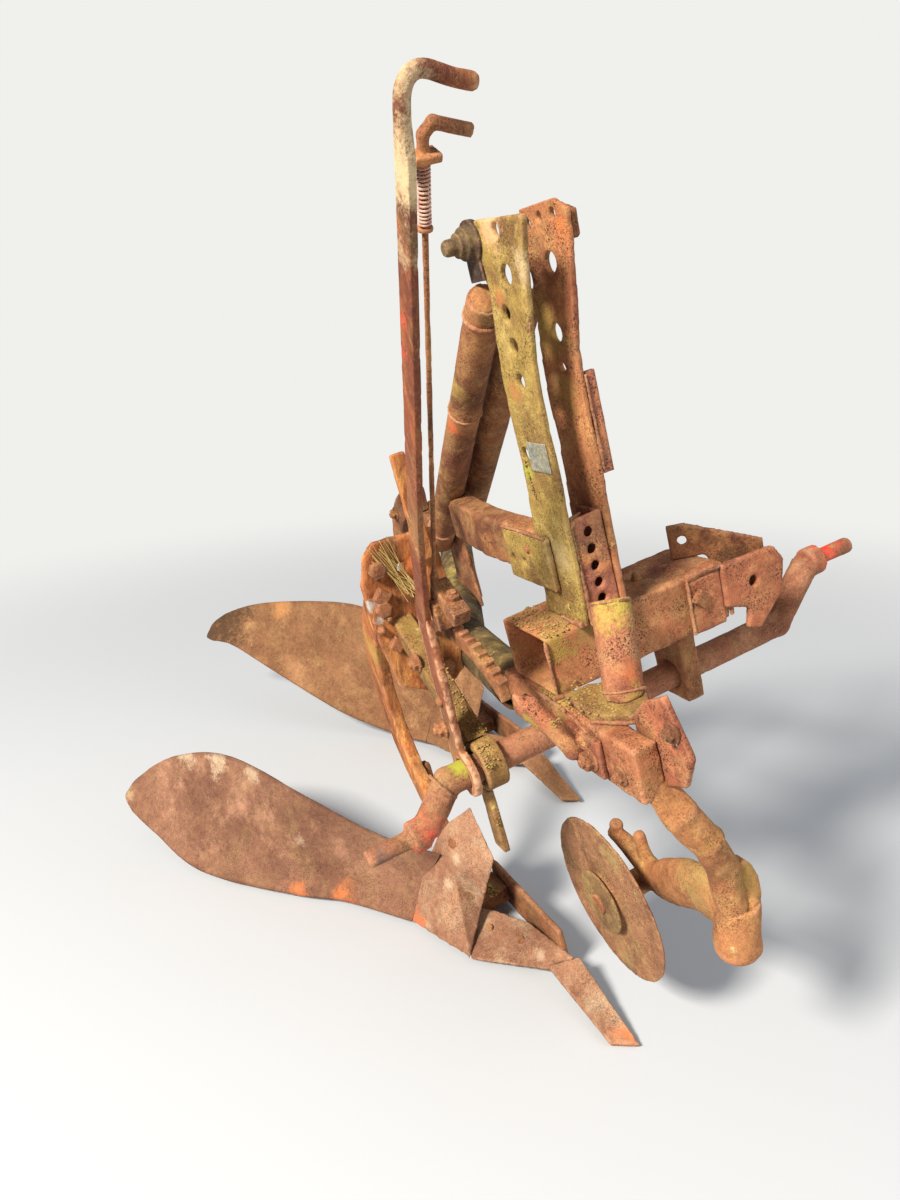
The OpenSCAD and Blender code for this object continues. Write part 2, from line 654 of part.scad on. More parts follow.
module coulter_casting() color("#8a4327") stand() difference() {
  union() {
    translate([swivel_at.x, swivel_at.y, barrel_z0 - 8]) cylinder(d = barrel_d, h = barrel_z1 - barrel_z0);
    bar([swivel_at.x, swivel_at.y, 330], [102, -40, 300], 38);
    bar([102, -40, 300], [104, disc_at.y, disc_at.z], 30);
    translate([102, -40, 300]) sphere(d = 39);
    translate([boss_x, disc_at.y, disc_at.z]) rotate([0, 90, 0]) cylinder(d = 44, h = 30);
  }
  translate([swivel_at.x, swivel_at.y, barrel_z0 + 10 - fit]) cylinder(d = stem_d + 2 * fit, h = 300);
}

module disc_axle() color("#6e4028") stand() translate([0, disc_at.y, disc_at.z]) rotate([0, 90, 0]) {
  translate([0, 0, disc_at.x - 22]) cylinder(d = 22, h = boss_x - disc_at.x + 22);
  translate([0, 0, disc_at.x - 24]) cylinder(d = 34, h = 8);
}

module coulter_disc() color("#8a4b30") stand() translate(disc_at) rotate([0, 90, 0]) difference() {
  union() {
    translate([0, 0, -disc_t / 2]) cylinder(d = disc_d, h = disc_t, $fn = 96);
    translate([0, 0, -12]) cylinder(d = 92, h = 30);
  }
  translate([0, 0, -40]) cylinder(d = 22 + 2 * fit, h = 90);
}

front_beam();
main_tube();
cross_beam();
cross_lap();
end_hook();
rear_plate();
headstock_left();
headstock_right();
headstock_foot();
weld_strip();
blank_plate();
front_brace();
brace_foot();
strut_front();
strut_rear();
strut_lug();
strut_bolt();
top_link_pin();
bent_brace();
brace_post();
holed_plate();
leg_plate();
red_strip();
plate_bolts();
shaft_carrier();
shaft_eye();
shaft_hanger();
hanging_bar();
quadrant();
quadrant_arm();
beam_lug();
front_leg();
front_frog();
front_landside();
front_share();
front_point();
front_shin();
front_board();
rear_leg_head();
rear_leg();
rear_frog();
rear_landside();
rear_share();
rear_point();
rear_shin();
rear_board();
cross_shaft();
lever();
latch();
latch_spring();
coulter_stem();
coulter_casting();
disc_axle();
coulter_disc();
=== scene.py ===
"""Looks of a parked two-furrow mounted plough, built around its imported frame.

Every steel piece is made again from its frame node as a rusted surface: a fine skin of small faces, moved in and
out by noise in waves, pits and flakes. Small fittings that the frame leaves out are swept or turned surfaces.
"""

from __future__ import annotations

import json
import logging
import math
from collections.abc import Callable, Iterator
from dataclasses import dataclass, field, replace
from enum import Enum

import bmesh
import bpy
import numpy as np
from mathutils import Matrix, Vector

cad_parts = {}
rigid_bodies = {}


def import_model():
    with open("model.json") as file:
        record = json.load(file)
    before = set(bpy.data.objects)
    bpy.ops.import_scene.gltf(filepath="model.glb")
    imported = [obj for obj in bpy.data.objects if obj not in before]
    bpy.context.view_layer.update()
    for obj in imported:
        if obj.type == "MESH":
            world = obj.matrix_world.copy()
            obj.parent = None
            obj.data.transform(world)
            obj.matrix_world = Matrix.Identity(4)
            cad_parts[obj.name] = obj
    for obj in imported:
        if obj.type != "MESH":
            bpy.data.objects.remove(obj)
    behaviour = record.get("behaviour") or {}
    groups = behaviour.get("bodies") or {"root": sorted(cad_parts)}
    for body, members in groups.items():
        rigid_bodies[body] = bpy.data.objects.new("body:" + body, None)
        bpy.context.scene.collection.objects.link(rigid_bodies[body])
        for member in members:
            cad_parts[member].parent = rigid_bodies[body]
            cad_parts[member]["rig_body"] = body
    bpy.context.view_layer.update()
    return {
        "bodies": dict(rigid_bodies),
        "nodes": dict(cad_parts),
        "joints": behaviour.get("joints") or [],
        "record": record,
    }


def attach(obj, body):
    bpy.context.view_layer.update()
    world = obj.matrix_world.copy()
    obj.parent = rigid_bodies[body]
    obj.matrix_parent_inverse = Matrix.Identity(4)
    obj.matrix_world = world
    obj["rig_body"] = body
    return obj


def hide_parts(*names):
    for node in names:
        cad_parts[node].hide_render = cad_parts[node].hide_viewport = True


LOG = logging.getLogger("plough")
Colour = tuple[float, float, float, float]
Triple = tuple[float, float, float]
Array = np.ndarray
Node = bpy.types.Node
Socket = bpy.types.NodeSocket
Takes = bpy.types.NodeInputs
Gives = bpy.types.NodeOutputs
Mesh = bpy.types.Mesh
Thing = bpy.types.Object

LEAN = math.radians(12.0)
PITCH = math.radians(3.0)
PARKED = Matrix.Rotation(-LEAN, 3, "Y") @ Matrix.Rotation(-PITCH, 3, "X")
STAND_AT = np.array([84.8, -757.4, 10.5])
MM = 0.001


def standing(at: Array) -> Array:
    """Places on the parked plough, in metres, of points in its own millimetres.

    The plough's own axes run to its left, to its rear and up, from the front share's point.
    """
    return (np.asarray(at, float) @ np.array(PARKED).T + STAND_AT) * MM


def tone(red: int, green: int, blue: int) -> Colour:
    """A display colour of 0 to 255 a channel, as the linear colour that shaders take.

    Args:
        red, green, blue: the channels as they look on a screen.

    Returns:
        The linear colour with alpha 1: below 4 percent a straight line, above it a 2.4 power.
    """
    shown = np.array([red, green, blue]) / 255.0
    linear = np.where(shown <= 0.04045, shown / 12.92, ((shown + 0.055) / 1.055) ** 2.4)
    return (*[float(c) for c in linear], 1.0)


# Shader groups


class Cells(float, Enum):
    """How many cells to the metre each noise of the shader groups has."""

    DRIFT = 17.0
    DUST = 230.0
    GRAIN = 420.0
    COARSE = 95.0
    PITTED = 22.0
    GROWTH = 9.0
    TUFT = 70.0
    PALER = 34.0
    CRUST = 38.0
    CRUSTED = 55.0
    PEEL = 7.0
    FADED = 40.0
    RUBBED = 45.0
    RAGGED = 24.0
    CRUMB = 170.0


BLOOMS_PER_PATCH = 3.7
FADED_PAINT = tone(196, 120, 96)
# A dark brown laid into every hollow of every piece: soil that gathers there, together with painted shade in corners
# and creases.
HOLLOW_SOIL_AND_SHADE = tone(60, 38, 28)
HOLLOW_SOIL_AND_SHADE_SHARE = 0.45


class Group(Enum):
    """The effects that more than one finish uses."""

    RUST = "Rust tones"
    PITS = "Rust pits"
    MOSS = "Moss and lichen"
    PAINT = "Old paint"
    WEAR = "Worn edges"
    SPOT = "Spot of another tone"


@dataclass
class Net:
    """A shader node tree with short ways to add and join nodes."""

    tree: bpy.types.NodeTree

    def add(self, kind: str, **settings: object) -> Node:
        """Adds a node of that kind and sets its properties."""
        made = self.tree.nodes.new(kind)
        for key, value in settings.items():
            setattr(made, key, value)
        return made

    def feed(self, value: object, socket: Socket) -> None:
        """Joins an output to a socket, or writes a plain value on it."""
        if isinstance(value, Socket):
            self.tree.links.new(value, socket)
        else:
            socket.default_value = value

    def noise(self, at: object, scale: object, detail: float = 6.0, rough: float = 0.6,
              warp: float = 0.0) -> Socket:
        """Fractal noise of 0 to 1 at a place, scale cells to the metre."""
        made = self.add("ShaderNodeTexNoise")
        self.feed(at, made.inputs["Vector"])
        self.feed(scale, made.inputs["Scale"])
        made.inputs["Detail"].default_value = detail
        made.inputs["Roughness"].default_value = rough
        made.inputs["Distortion"].default_value = warp
        return made.outputs["Fac"]

    def math(self, kind: str, a: object, b: object) -> Socket:
        """One operation on two values."""
        made = self.add("ShaderNodeMath", operation=kind)
        self.feed(a, made.inputs[0])
        self.feed(b, made.inputs[1])
        return made.outputs[0]

    def times(self, a: object, b: object) -> Socket:
        """The product of two values."""
        return self.math("MULTIPLY", a, b)

    def plus(self, a: object, b: object) -> Socket:
        """The sum of two values."""
        return self.math("ADD", a, b)

    def minus(self, a: object, b: object) -> Socket:
        """The first value less the second."""
        return self.math("SUBTRACT", a, b)

    def step(self, value: object, low: object, high: object) -> Socket:
        """A smooth rise from 0 at low to 1 at high."""
        made = self.add("ShaderNodeMapRange", interpolation_type="SMOOTHSTEP")
        self.feed(value, made.inputs["Value"])
        self.feed(low, made.inputs["From Min"])
        self.feed(high, made.inputs["From Max"])
        return made.outputs["Result"]

    def mix(self, share: object, a: object, b: object, kind: str = "MIX") -> Socket:
        """Colour a turned into colour b by a share."""
        made = self.add("ShaderNodeMix", data_type="RGBA", blend_type=kind)
        self.feed(share, made.inputs["Factor"])
        self.feed(a, made.inputs["A"])
        self.feed(b, made.inputs["B"])
        return made.outputs["Result"]

    def attribute(self, name: str) -> Socket:
        """A number that the mesh keeps for each vertex."""
        return self.add("ShaderNodeAttribute", attribute_name=name).outputs["Fac"]


SURFACE = {"Vector": "Vector", "Color": "Color"}
MASKED = {"Color": "Color", "Mask": "Float"}
GROUP_SOCKETS: dict[Group, tuple[dict[str, str], dict[str, str]]] = {
    Group.RUST: (
        {"Vector": "Vector", "Dark": "Color", "Mid": "Color", "Light": "Color", "Fleck": "Color",
         "Patches": "Float", "Grain": "Float", "Flecks": "Float"},
        {"Color": "Color", "Height": "Float"},
    ),
    Group.PITS: (SURFACE | {"Pit": "Color", "Size": "Float", "Amount": "Float"}, MASKED),
    Group.MOSS: (SURFACE | {"Moss": "Color", "Lichen": "Color", "Amount": "Float", "Lichen Amount": "Float",
                            "Sky": "Float", "Hollow": "Float"}, MASKED),
    Group.PAINT: (SURFACE | {"Paint": "Color", "Amount": "Float", "Wear": "Float"}, MASKED),
    Group.WEAR: (SURFACE | {"Bare": "Color", "Amount": "Float", "Wear": "Float"}, MASKED),
    Group.SPOT: (SURFACE | {"Centre": "Vector", "Reach": "Float", "Tint": "Color", "Strength": "Float"},
                 {"Color": "Color"}),
}


@dataclass
class ShaderShop:
    """Builds each shader group once and hands it out."""

    made: dict[Group, bpy.types.NodeTree] = field(default_factory=dict)

    def group(self, which: Group) -> bpy.types.NodeTree:
        """The node group of an effect, built when it is first asked for.

        Args:
            which: the effect.

        Returns:
            Its node tree, with named inputs and outputs.
        """
        if which not in self.made:
            tree = bpy.data.node_groups.new(which.value, "ShaderNodeTree")
            for way, sockets in zip(("INPUT", "OUTPUT"), GROUP_SOCKETS[which]):
                for name, kind in sockets.items():
                    tree.interface.new_socket(name, in_out=way, socket_type=f"NodeSocket{kind}")
            net = Net(tree)
            given = net.add("NodeGroupInput").outputs
            build = getattr(self, which.name.lower())
            build(net, given, net.add("NodeGroupOutput").inputs)
            self.made[which] = tree
        return self.made[which]

    def use(self, net: Net, which: Group, **values: object) -> Gives:
        """Adds the group of an effect to a tree and feeds its inputs, each named with _ for a space."""
        node = net.add("ShaderNodeGroup", node_tree=self.group(which))
        for key, value in values.items():
            net.feed(value, node.inputs[key.replace("_", " ")])
        return node.outputs

    def rust(self, net: Net, given: Gives, out: Takes) -> None:
        """Broad patches from dark to mid, brighter blooms, pale flecks and a fine grain that darkens them all."""
        at = given["Vector"]
        broad = net.noise(at, given["Patches"], 9.0, 0.66, 0.6)
        base = net.mix(net.step(broad, 0.34, 0.62), given["Dark"], given["Mid"])
        bloom = net.noise(at, net.times(given["Patches"], BLOOMS_PER_PATCH), 10.0, 0.72)
        warm = net.mix(net.step(bloom, 0.47, 0.72), base, given["Light"])
        drift = net.step(net.noise(at, Cells.DRIFT, 8.0, 0.7, 0.4), 0.46, 0.7)
        dust = net.step(net.noise(at, Cells.DUST, 6.0, 0.8), 0.55, 0.68)
        for speckle in (drift, dust):
            warm = net.mix(net.times(speckle, given["Flecks"]), warm, given["Fleck"])
        grain = net.noise(at, Cells.GRAIN, 4.0, 0.75)
        coarse = net.noise(at, Cells.COARSE, 8.0, 0.7)
        shade = net.times(net.step(grain, 0.2, 0.62), net.step(coarse, 0.12, 0.6))
        level = net.plus(net.minus(1.0, given["Grain"]), net.times(given["Grain"], shade))
        grey = net.add("ShaderNodeCombineColor")
        for channel in ("Red", "Green", "Blue"):
            net.feed(level, grey.inputs[channel])
        net.feed(net.mix(1.0, warm, grey.outputs["Color"], "MULTIPLY"), out["Color"])
        net.feed(net.plus(net.times(grain, 0.4), coarse), out["Height"])

    def pits(self, net: Net, given: Gives, out: Takes) -> None:
        """Dark specks in two sizes: cells whose centre lies close, kept only where a slower noise is high."""
        at = given["Vector"]
        where = net.step(net.noise(at, Cells.PITTED, 5.0, 0.65), 0.38, 0.62)
        mask = None
        for scale, far, near, strength in ((1.0, 0.36, 0.16, 0.9), (2.3, 0.5, 0.22, 0.75)):
            cells = net.add("ShaderNodeTexVoronoi")
            net.feed(at, cells.inputs["Vector"])
            net.feed(net.times(given["Size"], scale), cells.inputs["Scale"])
            layer = net.times(net.step(cells.outputs["Distance"], far, near), strength)
            mask = layer if mask is None else net.math("MAXIMUM", mask, layer)
        mask = net.times(net.times(mask, where), given["Amount"])
        net.feed(net.mix(mask, given["Color"], given["Pit"]), out["Color"])
        net.feed(mask, out["Mask"])

    def moss(self, net: Net, given: Gives, out: Takes) -> None:
        """Growth where noise, the sky above and a hollow add up, with paler lichen spots inside it."""
        at = given["Vector"]
        spread = net.plus(net.noise(at, Cells.GROWTH, 10.0, 0.74, 0.3),
                          net.times(net.noise(at, Cells.TUFT, 6.0, 0.7), 0.3))
        lift = net.plus(net.times(given["Sky"], 0.16), net.times(given["Hollow"], 0.12))
        total = net.plus(net.plus(spread, lift), given["Amount"])
        mask = net.times(net.step(total, 0.98, 1.24), 0.85)
        tint = net.mix(net.step(net.noise(at, Cells.PALER, 5.0, 0.6), 0.4, 0.62), given["Moss"], given["Lichen"])
        grown = net.mix(mask, given["Color"], tint)
        spots = net.add("ShaderNodeTexVoronoi")
        net.feed(at, spots.inputs["Vector"])
        spots.inputs["Scale"].default_value = Cells.CRUST
        patch = net.plus(net.noise(at, Cells.CRUSTED, 6.0, 0.75), given["Lichen Amount"])
        crust = net.times(net.step(spots.outputs["Distance"], 0.5, 0.28), net.step(patch, 1.0, 1.12))
        net.feed(net.mix(crust, grown, given["Lichen"]), out["Color"])
        net.feed(net.math("MAXIMUM", mask, crust), out["Mask"])

    def paint(self, net: Net, given: Gives, out: Takes) -> None:
        """Paint left where noise is low, gone first at the edges, faded in blotches."""
        at = given["Vector"]
        loss = net.plus(net.noise(at, Cells.PEEL, 12.0, 0.72, 0.5), net.times(given["Wear"], 0.3))
        mask = net.step(net.minus(given["Amount"], loss), -0.03, 0.05)
        faded = net.mix(net.step(net.noise(at, Cells.FADED, 7.0, 0.7), 0.35, 0.7), given["Paint"], FADED_PAINT)
        net.feed(net.mix(mask, given["Color"], faded), out["Color"])
        net.feed(mask, out["Mask"])

    def wear(self, net: Net, given: Gives, out: Takes) -> None:
        """A rubbed line along the edges, broken by noise."""
        at = given["Vector"]
        broken = net.step(net.noise(at, Cells.RUBBED, 7.0, 0.7), 0.36, 0.6)
        mask = net.times(net.times(given["Wear"], broken), given["Amount"])
        net.feed(net.mix(mask, given["Color"], given["Bare"]), out["Color"])
        net.feed(mask, out["Mask"])

    def spot(self, net: Net, given: Gives, out: Takes) -> None:
        """A patch about a place, thinner with the distance and broken up by two noises."""
        at = given["Vector"]
        apart = net.add("ShaderNodeVectorMath", operation="DISTANCE")
        net.feed(at, apart.inputs[0])
        net.feed(given["Centre"], apart.inputs[1])
        near = net.minus(1.0, net.math("DIVIDE", apart.outputs["Value"], given["Reach"]))
        ragged = net.plus(net.times(net.noise(at, Cells.RAGGED, 9.0, 0.74), 1.1),
                          net.times(net.noise(at, Cells.CRUMB, 5.0, 0.75), 0.7))
        total = net.plus(net.times(near, 0.5), ragged)
        mask = net.times(net.step(total, 1.02, 1.36), given["Strength"])
        net.feed(net.mix(mask, given["Color"], given["Tint"]), out["Color"])


# Finishes


@dataclass(frozen=True)
class Spot:
    """A patch of another tone on a piece: its middle on the plough and its reach in millimetres."""

    at: Triple
    reach: float
    tint: Colour
    strength: float


@dataclass(frozen=True)
class Finish:
    """One steel surface as the weather left it: its tones, and how much of each effect lies on it."""

    name: str
    slot: str
    dark: Colour = tone(98, 56, 38)
    mid: Colour = tone(158, 102, 68)
    light: Colour = tone(194, 132, 82)
    patches: float = 6.0
    grain: float = 0.62
    fleck: Colour = tone(184, 154, 98)
    flecks: float = 0.42
    pit: Colour = tone(52, 30, 26)
    pits: float = 0.8
    pit_size: float = 170.0
    moss: Colour = tone(122, 108, 44)
    lichen: Colour = tone(186, 168, 110)
    growth: float = 0.0
    crust: float = 0.35
    paint: Colour = tone(190, 66, 48)
    painted: float = 0.0
    bare: Colour = tone(196, 142, 112)
    rubbed: float = 0.5
    stretch: tuple[float, float, float] = (1.0, 1.0, 1.0)
    rough: tuple[float, float] = (0.68, 0.92)
    bump: float = 0.55
    spots: tuple[Spot, ...] = ()

    def material(self, shop: ShaderShop) -> bpy.types.Material:
        """Builds the finish as a node material.

        Args:
            shop: where the shader groups come from.

        Returns:
            The material, which reads Object coordinates and the mesh's wear, hollow and sky numbers.
        """
        made = bpy.data.materials.new(self.name)
        made.use_nodes = True
        net = Net(made.node_tree)
        shader = made.node_tree.nodes["Principled BSDF"]
        place = net.add("ShaderNodeTexCoord").outputs["Object"]
        turned = net.add("ShaderNodeMapping")
        turned.inputs["Rotation"].default_value = (PITCH, LEAN, 0.0)
        turned.inputs["Scale"].default_value = self.stretch
        net.feed(place, turned.inputs["Vector"])
        wear, hollow, sky = (net.attribute(n) for n in ("wear", "hollow", "sky"))
        rust = shop.use(net, Group.RUST, Vector=turned.outputs["Vector"], Dark=self.dark, Mid=self.mid,
                        Light=self.light, Patches=self.patches, Grain=self.grain, Fleck=self.fleck,
                        Flecks=self.flecks)
        pits = shop.use(net, Group.PITS, Vector=place, Color=rust["Color"], Pit=self.pit, Size=self.pit_size,
                        Amount=self.pits)
        paint = shop.use(net, Group.PAINT, Vector=place, Color=pits["Color"], Paint=self.paint,
                         Amount=self.painted, Wear=wear)
        edges = shop.use(net, Group.WEAR, Vector=place, Color=paint["Color"], Bare=self.bare,
                         Amount=self.rubbed, Wear=wear)
        grown = shop.use(net, Group.MOSS, Vector=place, Color=edges["Color"], Moss=self.moss, Lichen=self.lichen,
                         Amount=self.growth, Lichen_Amount=self.crust, Sky=sky, Hollow=hollow)
        colour = grown["Color"]
        for spot in self.spots:
            centre = tuple(float(x) for x in standing(spot.at))
            colour = shop.use(net, Group.SPOT, Vector=place, Color=colour, Centre=centre, Reach=spot.reach * MM,
                              Tint=spot.tint, Strength=spot.strength)["Color"]
        # Darkens the hollows towards that dark brown: soil together with painted shade in corners and creases.
        net.feed(net.mix(net.times(hollow, HOLLOW_SOIL_AND_SHADE_SHARE), colour, HOLLOW_SOIL_AND_SHADE), shader.inputs["Base Color"])
        self.relief(net, rust["Height"], pits["Mask"], paint["Mask"], grown["Mask"])
        return made

    def relief(self, net: Net, height: Socket, pitted: Socket, painted: Socket, grown: Socket) -> None:
        """Joins roughness and bump: paint smooths the steel, growth roughens and lifts it, and pits sink.

        Args:
            net: the material's tree.
            height: the rust's own height.
            pitted, painted, grown: where the pits, the paint and the growth lie.
        """
        shader = net.tree.nodes["Principled BSDF"]
        sheen = net.times(painted, self.rough[1] - self.rough[0])
        matt = net.plus(self.rough[1], net.times(grown, 0.06))
        net.feed(net.minus(matt, sheen), shader.inputs["Roughness"])
        bump = net.add("ShaderNodeBump")
        bump.inputs["Strength"].default_value = self.bump
        bump.inputs["Distance"].default_value = 0.0016
        net.feed(net.plus(net.minus(height, pitted), net.times(grown, 0.5)), bump.inputs["Height"])
        net.feed(bump.outputs["Normal"], shader.inputs["Normal"])
        shader.inputs["Specular IOR Level"].default_value = 0.3


def worn(base: Finish, name: str, dark: tuple[int, int, int], mid: tuple[int, int, int],
         light: tuple[int, int, int], **rest: object) -> Finish:
    """A finish with its own name and rust tones of 0 to 255 a channel, and else like its base but for the rest."""
    return replace(base, name=name, dark=tone(*dark), mid=tone(*mid), light=tone(*light), **rest)


YELLOW_MOSS = tone(160, 138, 66)
LIME = tone(158, 168, 46)
CREAM = tone(206, 182, 140)
BRIGHT_RUST = tone(208, 116, 62)
OLD_RED = tone(186, 70, 48)
MUD = tone(74, 52, 34)
GREY_LICHEN = tone(196, 172, 142)

RUST = Finish("rusted_steel", "rusted_steel")
RED_RUST = worn(RUST, "red_rust", (124, 64, 46), (180, 108, 76), (208, 138, 94), patches=5.0, pits=1.0, growth=-0.02)
BEAM_RUST = worn(RED_RUST, "beam_rust", (132, 74, 50), (192, 122, 82), (216, 154, 104), growth=0.03, spots=(
    Spot((4, -6, 645), 46, YELLOW_MOSS, 0.85), Spot((24, 0, 712), 60, YELLOW_MOSS, 0.75),
    Spot((28, 75, 690), 70, YELLOW_MOSS, 0.6), Spot((8, 40, 700), 22, OLD_RED, 0.8),
    Spot((-6, 93, 579), 40, YELLOW_MOSS, 0.9), Spot((300, 60, 735), 60, CREAM, 0.3),
    Spot((90, 40, 735), 90, tone(150, 130, 74), 0.7)))
BRACE_RUST = replace(RED_RUST, name="brace_rust", mid=tone(176, 112, 82), light=tone(196, 132, 96), spots=(
    Spot((64, -95, 690), 34, BRIGHT_RUST, 0.35), Spot((82, -60, 762), 52, tone(176, 156, 70), 0.9),
    Spot((60, -96, 664), 34, YELLOW_MOSS, 0.7)))
STRUT_RUST = worn(RUST, "strut_rust", (104, 58, 38), (160, 104, 66), (186, 134, 82), growth=0.1, spots=(
    Spot((57, 253, 1000), 26, tone(216, 96, 54), 0.8), Spot((60, 200, 1060), 40, YELLOW_MOSS, 0.5)))
BENT_RUST = worn(RUST, "bent_rust", (108, 62, 42), (168, 108, 66), (194, 138, 84), growth=0.14)
FOOT_RUST = worn(RED_RUST, "foot_rust", (128, 72, 60), (176, 110, 86), (208, 138, 90), pit_size=200.0)
MAST_RED = worn(RED_RUST, "mast_red", (140, 82, 56), (188, 122, 80), (214, 152, 96), growth=0.06, spots=(
    Spot((122, 30, 1119), 70, YELLOW_MOSS, 0.6), Spot((122, 10, 1040), 60, YELLOW_MOSS, 0.45),
    Spot((122, -60, 1230), 40, BRIGHT_RUST, 0.5)))
MOSSY = worn(RUST, "mossy_steel", (96, 64, 38), (146, 108, 60), (178, 142, 78), slot="mossy_steel",
             moss=tone(144, 124, 52), lichen=tone(190, 168, 96), growth=0.22, crust=0.42)
MAST_OCHRE = worn(MOSSY, "mast_ochre", (124, 88, 50), (164, 136, 68), (194, 168, 92), patches=8.0, growth=0.2, spots=(
    Spot((60, 0, 1255), 46, tone(206, 160, 118), 0.8), Spot((60, -60, 1200), 34, CREAM, 0.55),
    Spot((60, 43, 950), 22, LIME, 0.9), Spot((60, 12, 1171), 24, tone(168, 100, 58), 0.7),
    Spot((60, 30, 1060), 30, tone(168, 100, 58), 0.6), Spot((60, 0, 830), 50, CREAM, 0.4)))
# The main tube's tones are mossy olive made much darker with painted shade, for its side that lies in shade.
TUBE_MOSS_AND_SHADE = worn(MOSSY, "tube_moss_and_shade", (56, 44, 32), (90, 72, 44), (122, 100, 58), growth=0.2)
FLAKY = worn(
    RUST, "flaking_plate", (112, 60, 36), (190, 112, 60), (232, 160, 88), patches=16.0, stretch=(1.0, 1.0, 0.22),
    grain=0.65, pits=0.5, rubbed=0.8, spots=(
        Spot((-128, 322, 760), 20, tone(178, 176, 168), 0.8), Spot((-120, 322, 730), 16, tone(190, 186, 176), 0.8),
        Spot((-61, 322, 744), 22, MUD, 0.6), Spot((-90, 322, 700), 26, BRIGHT_RUST, 0.7),
        Spot((-40, 322, 800), 34, BRIGHT_RUST, 0.7), Spot((-117, 458, 633), 50, YELLOW_MOSS, 0.7)))
SOIL_PLATE = worn(
    RUST, "soil_plate", (116, 76, 58), (148, 104, 80), (178, 130, 102), slot="worn_plate", patches=3.0, pits=0.6,
    pit_size=210.0, flecks=0.22, growth=-0.25, crust=0.2, rubbed=0.35, bare=tone(206, 168, 136), bump=0.4, spots=(
        Spot((-429, 859, 374), 56, GREY_LICHEN, 0.75), Spot((-490, 930, 384), 50, GREY_LICHEN, 0.75),
        Spot((-373, 764, 351), 36, GREY_LICHEN, 0.55), Spot((-300, 585, 108), 48, BRIGHT_RUST, 0.6),
        Spot((-374, 643, 123), 44, BRIGHT_RUST, 0.6), Spot((-336, 660, 221), 26, GREY_LICHEN, 0.4),
        Spot((-640, 1052, 300), 36, CREAM, 0.35), Spot((-560, 940, 330), 70, tone(190, 140, 110), 0.5)))
REAR_PLATE = worn(SOIL_PLATE, "rear_soil_plate", (116, 76, 50), (154, 108, 74), (184, 136, 94), spots=(
    Spot((-305, 1695, 385), 260, MUD, 0.9), Spot((-250, 1640, 430), 150, MUD, 0.7),
    Spot((-88, 1513, 447), 80, tone(186, 126, 72), 0.5)))
CUTTING = worn(
    SOIL_PLATE, "cutting_plate", (134, 88, 66), (174, 126, 96), (200, 154, 118), fleck=tone(190, 168, 136), flecks=0.6,
    crust=0.36, bump=0.6, spots=(
        Spot((-202, 447, 75), 44, tone(214, 104, 60), 0.7), Spot((-100, 390, 200), 20, GREY_LICHEN, 0.7),
        Spot((-130, 400, 150), 22, GREY_LICHEN, 0.6), Spot((-80, 380, 270), 18, GREY_LICHEN, 0.6),
        Spot((-45, 230, 45), 20, GREY_LICHEN, 0.5), Spot((-10, 20, 10), 40, tone(216, 122, 70), 0.7),
        Spot((-34, 205, 44), 9, MUD, 0.9)))
LEVER_BAR = worn(
    RUST, "lever_bar", (96, 48, 32), (140, 74, 46), (182, 110, 64), slot="faded_red_paint", stretch=(1.0, 1.0, 0.25),
    painted=0.34, grain=0.5, pits=0.5, rough=(0.45, 0.72), crust=0.42, rubbed=0.9, bare=tone(204, 156, 122), spots=(
        Spot((-121, -235, 1320), 70, CREAM, 0.8), Spot((-121, -262, 1365), 40, CREAM, 0.6),
        Spot((-121, -190, 1245), 34, CREAM, 0.5), Spot((-124, -150, 1190), 22, OLD_RED, 0.9),
        Spot((-124, -128, 1160), 18, OLD_RED, 0.85)))
SHAFT = worn(
    RUST, "shaft_paint", (128, 76, 54), (172, 114, 84), (198, 142, 108), slot="faded_red_paint", painted=0.3, pits=0.6,
    spots=(
        Spot((600, 117, 615), 60, tone(214, 52, 40), 0.95), Spot((-204, 108, 476), 52, tone(214, 84, 62), 0.8),
        Spot((-128, 100, 556), 34, LIME, 0.75), Spot((-276, 108, 475), 24, tone(96, 88, 82), 0.8)))
# Near black tones: painted shade on the top link pin's end, which sits in shade behind the mast.
PAINTED_SHADE_IRON = worn(RUST, "dark_iron", (34, 28, 26), (58, 44, 38), (92, 66, 52), slot="dark_iron", growth=-0.2)
CASTING = worn(
    RUST, "rough_casting", (128, 78, 48), (180, 120, 76), (206, 154, 94), growth=0.15, pits=0.7, crust=0.4, spots=(
        Spot((100, -120, 360), 90, tone(150, 136, 78), 0.45), Spot((118, -200, 400), 60, YELLOW_MOSS, 0.45),
        Spot((90, -196, 290), 60, tone(196, 122, 92), 0.8), Spot((60, -200, 500), 40, YELLOW_MOSS, 0.5)))
DISC_RUST = worn(
    CASTING, "disc_rust", (120, 78, 56), (166, 116, 82), (198, 146, 98), patches=10.0, flecks=0.55, pits=0.9,
    pit_size=240.0, growth=0.05, spots=(
        Spot((30, 40, 330), 50, tone(170, 150, 90), 0.5), Spot((30, 60, 110), 50, tone(150, 136, 84), 0.5)))
HUB = worn(MOSSY, "hub_plate", (112, 80, 52), (150, 116, 72), (178, 150, 92), growth=0.2)
PLATE_GREY = worn(RUST, "blank_grey_plate", (112, 116, 102), (156, 158, 144), (186, 188, 176), slot="grey_plate",
                  pit_size=260.0, patches=40.0, growth=0.1, rough=(0.4, 0.5), bump=0.2)
WELD = worn(RUST, "weld_bead", (108, 64, 46), (164, 106, 76), (196, 142, 104), pits=0.6, grain=0.6, rubbed=0.3,
            growth=0.08, bare=tone(206, 158, 122))
COIL = worn(RUST, "spring_wire", (80, 48, 42), (150, 98, 88), (200, 150, 134), pits=0.2, grain=0.3, rubbed=0.9,
            bare=tone(220, 180, 160))
MOSS_CLUMP = worn(MOSSY, "moss_clump", (96, 80, 40), (140, 120, 58), (172, 150, 78), pits=0.2, growth=0.3, bump=1.0)
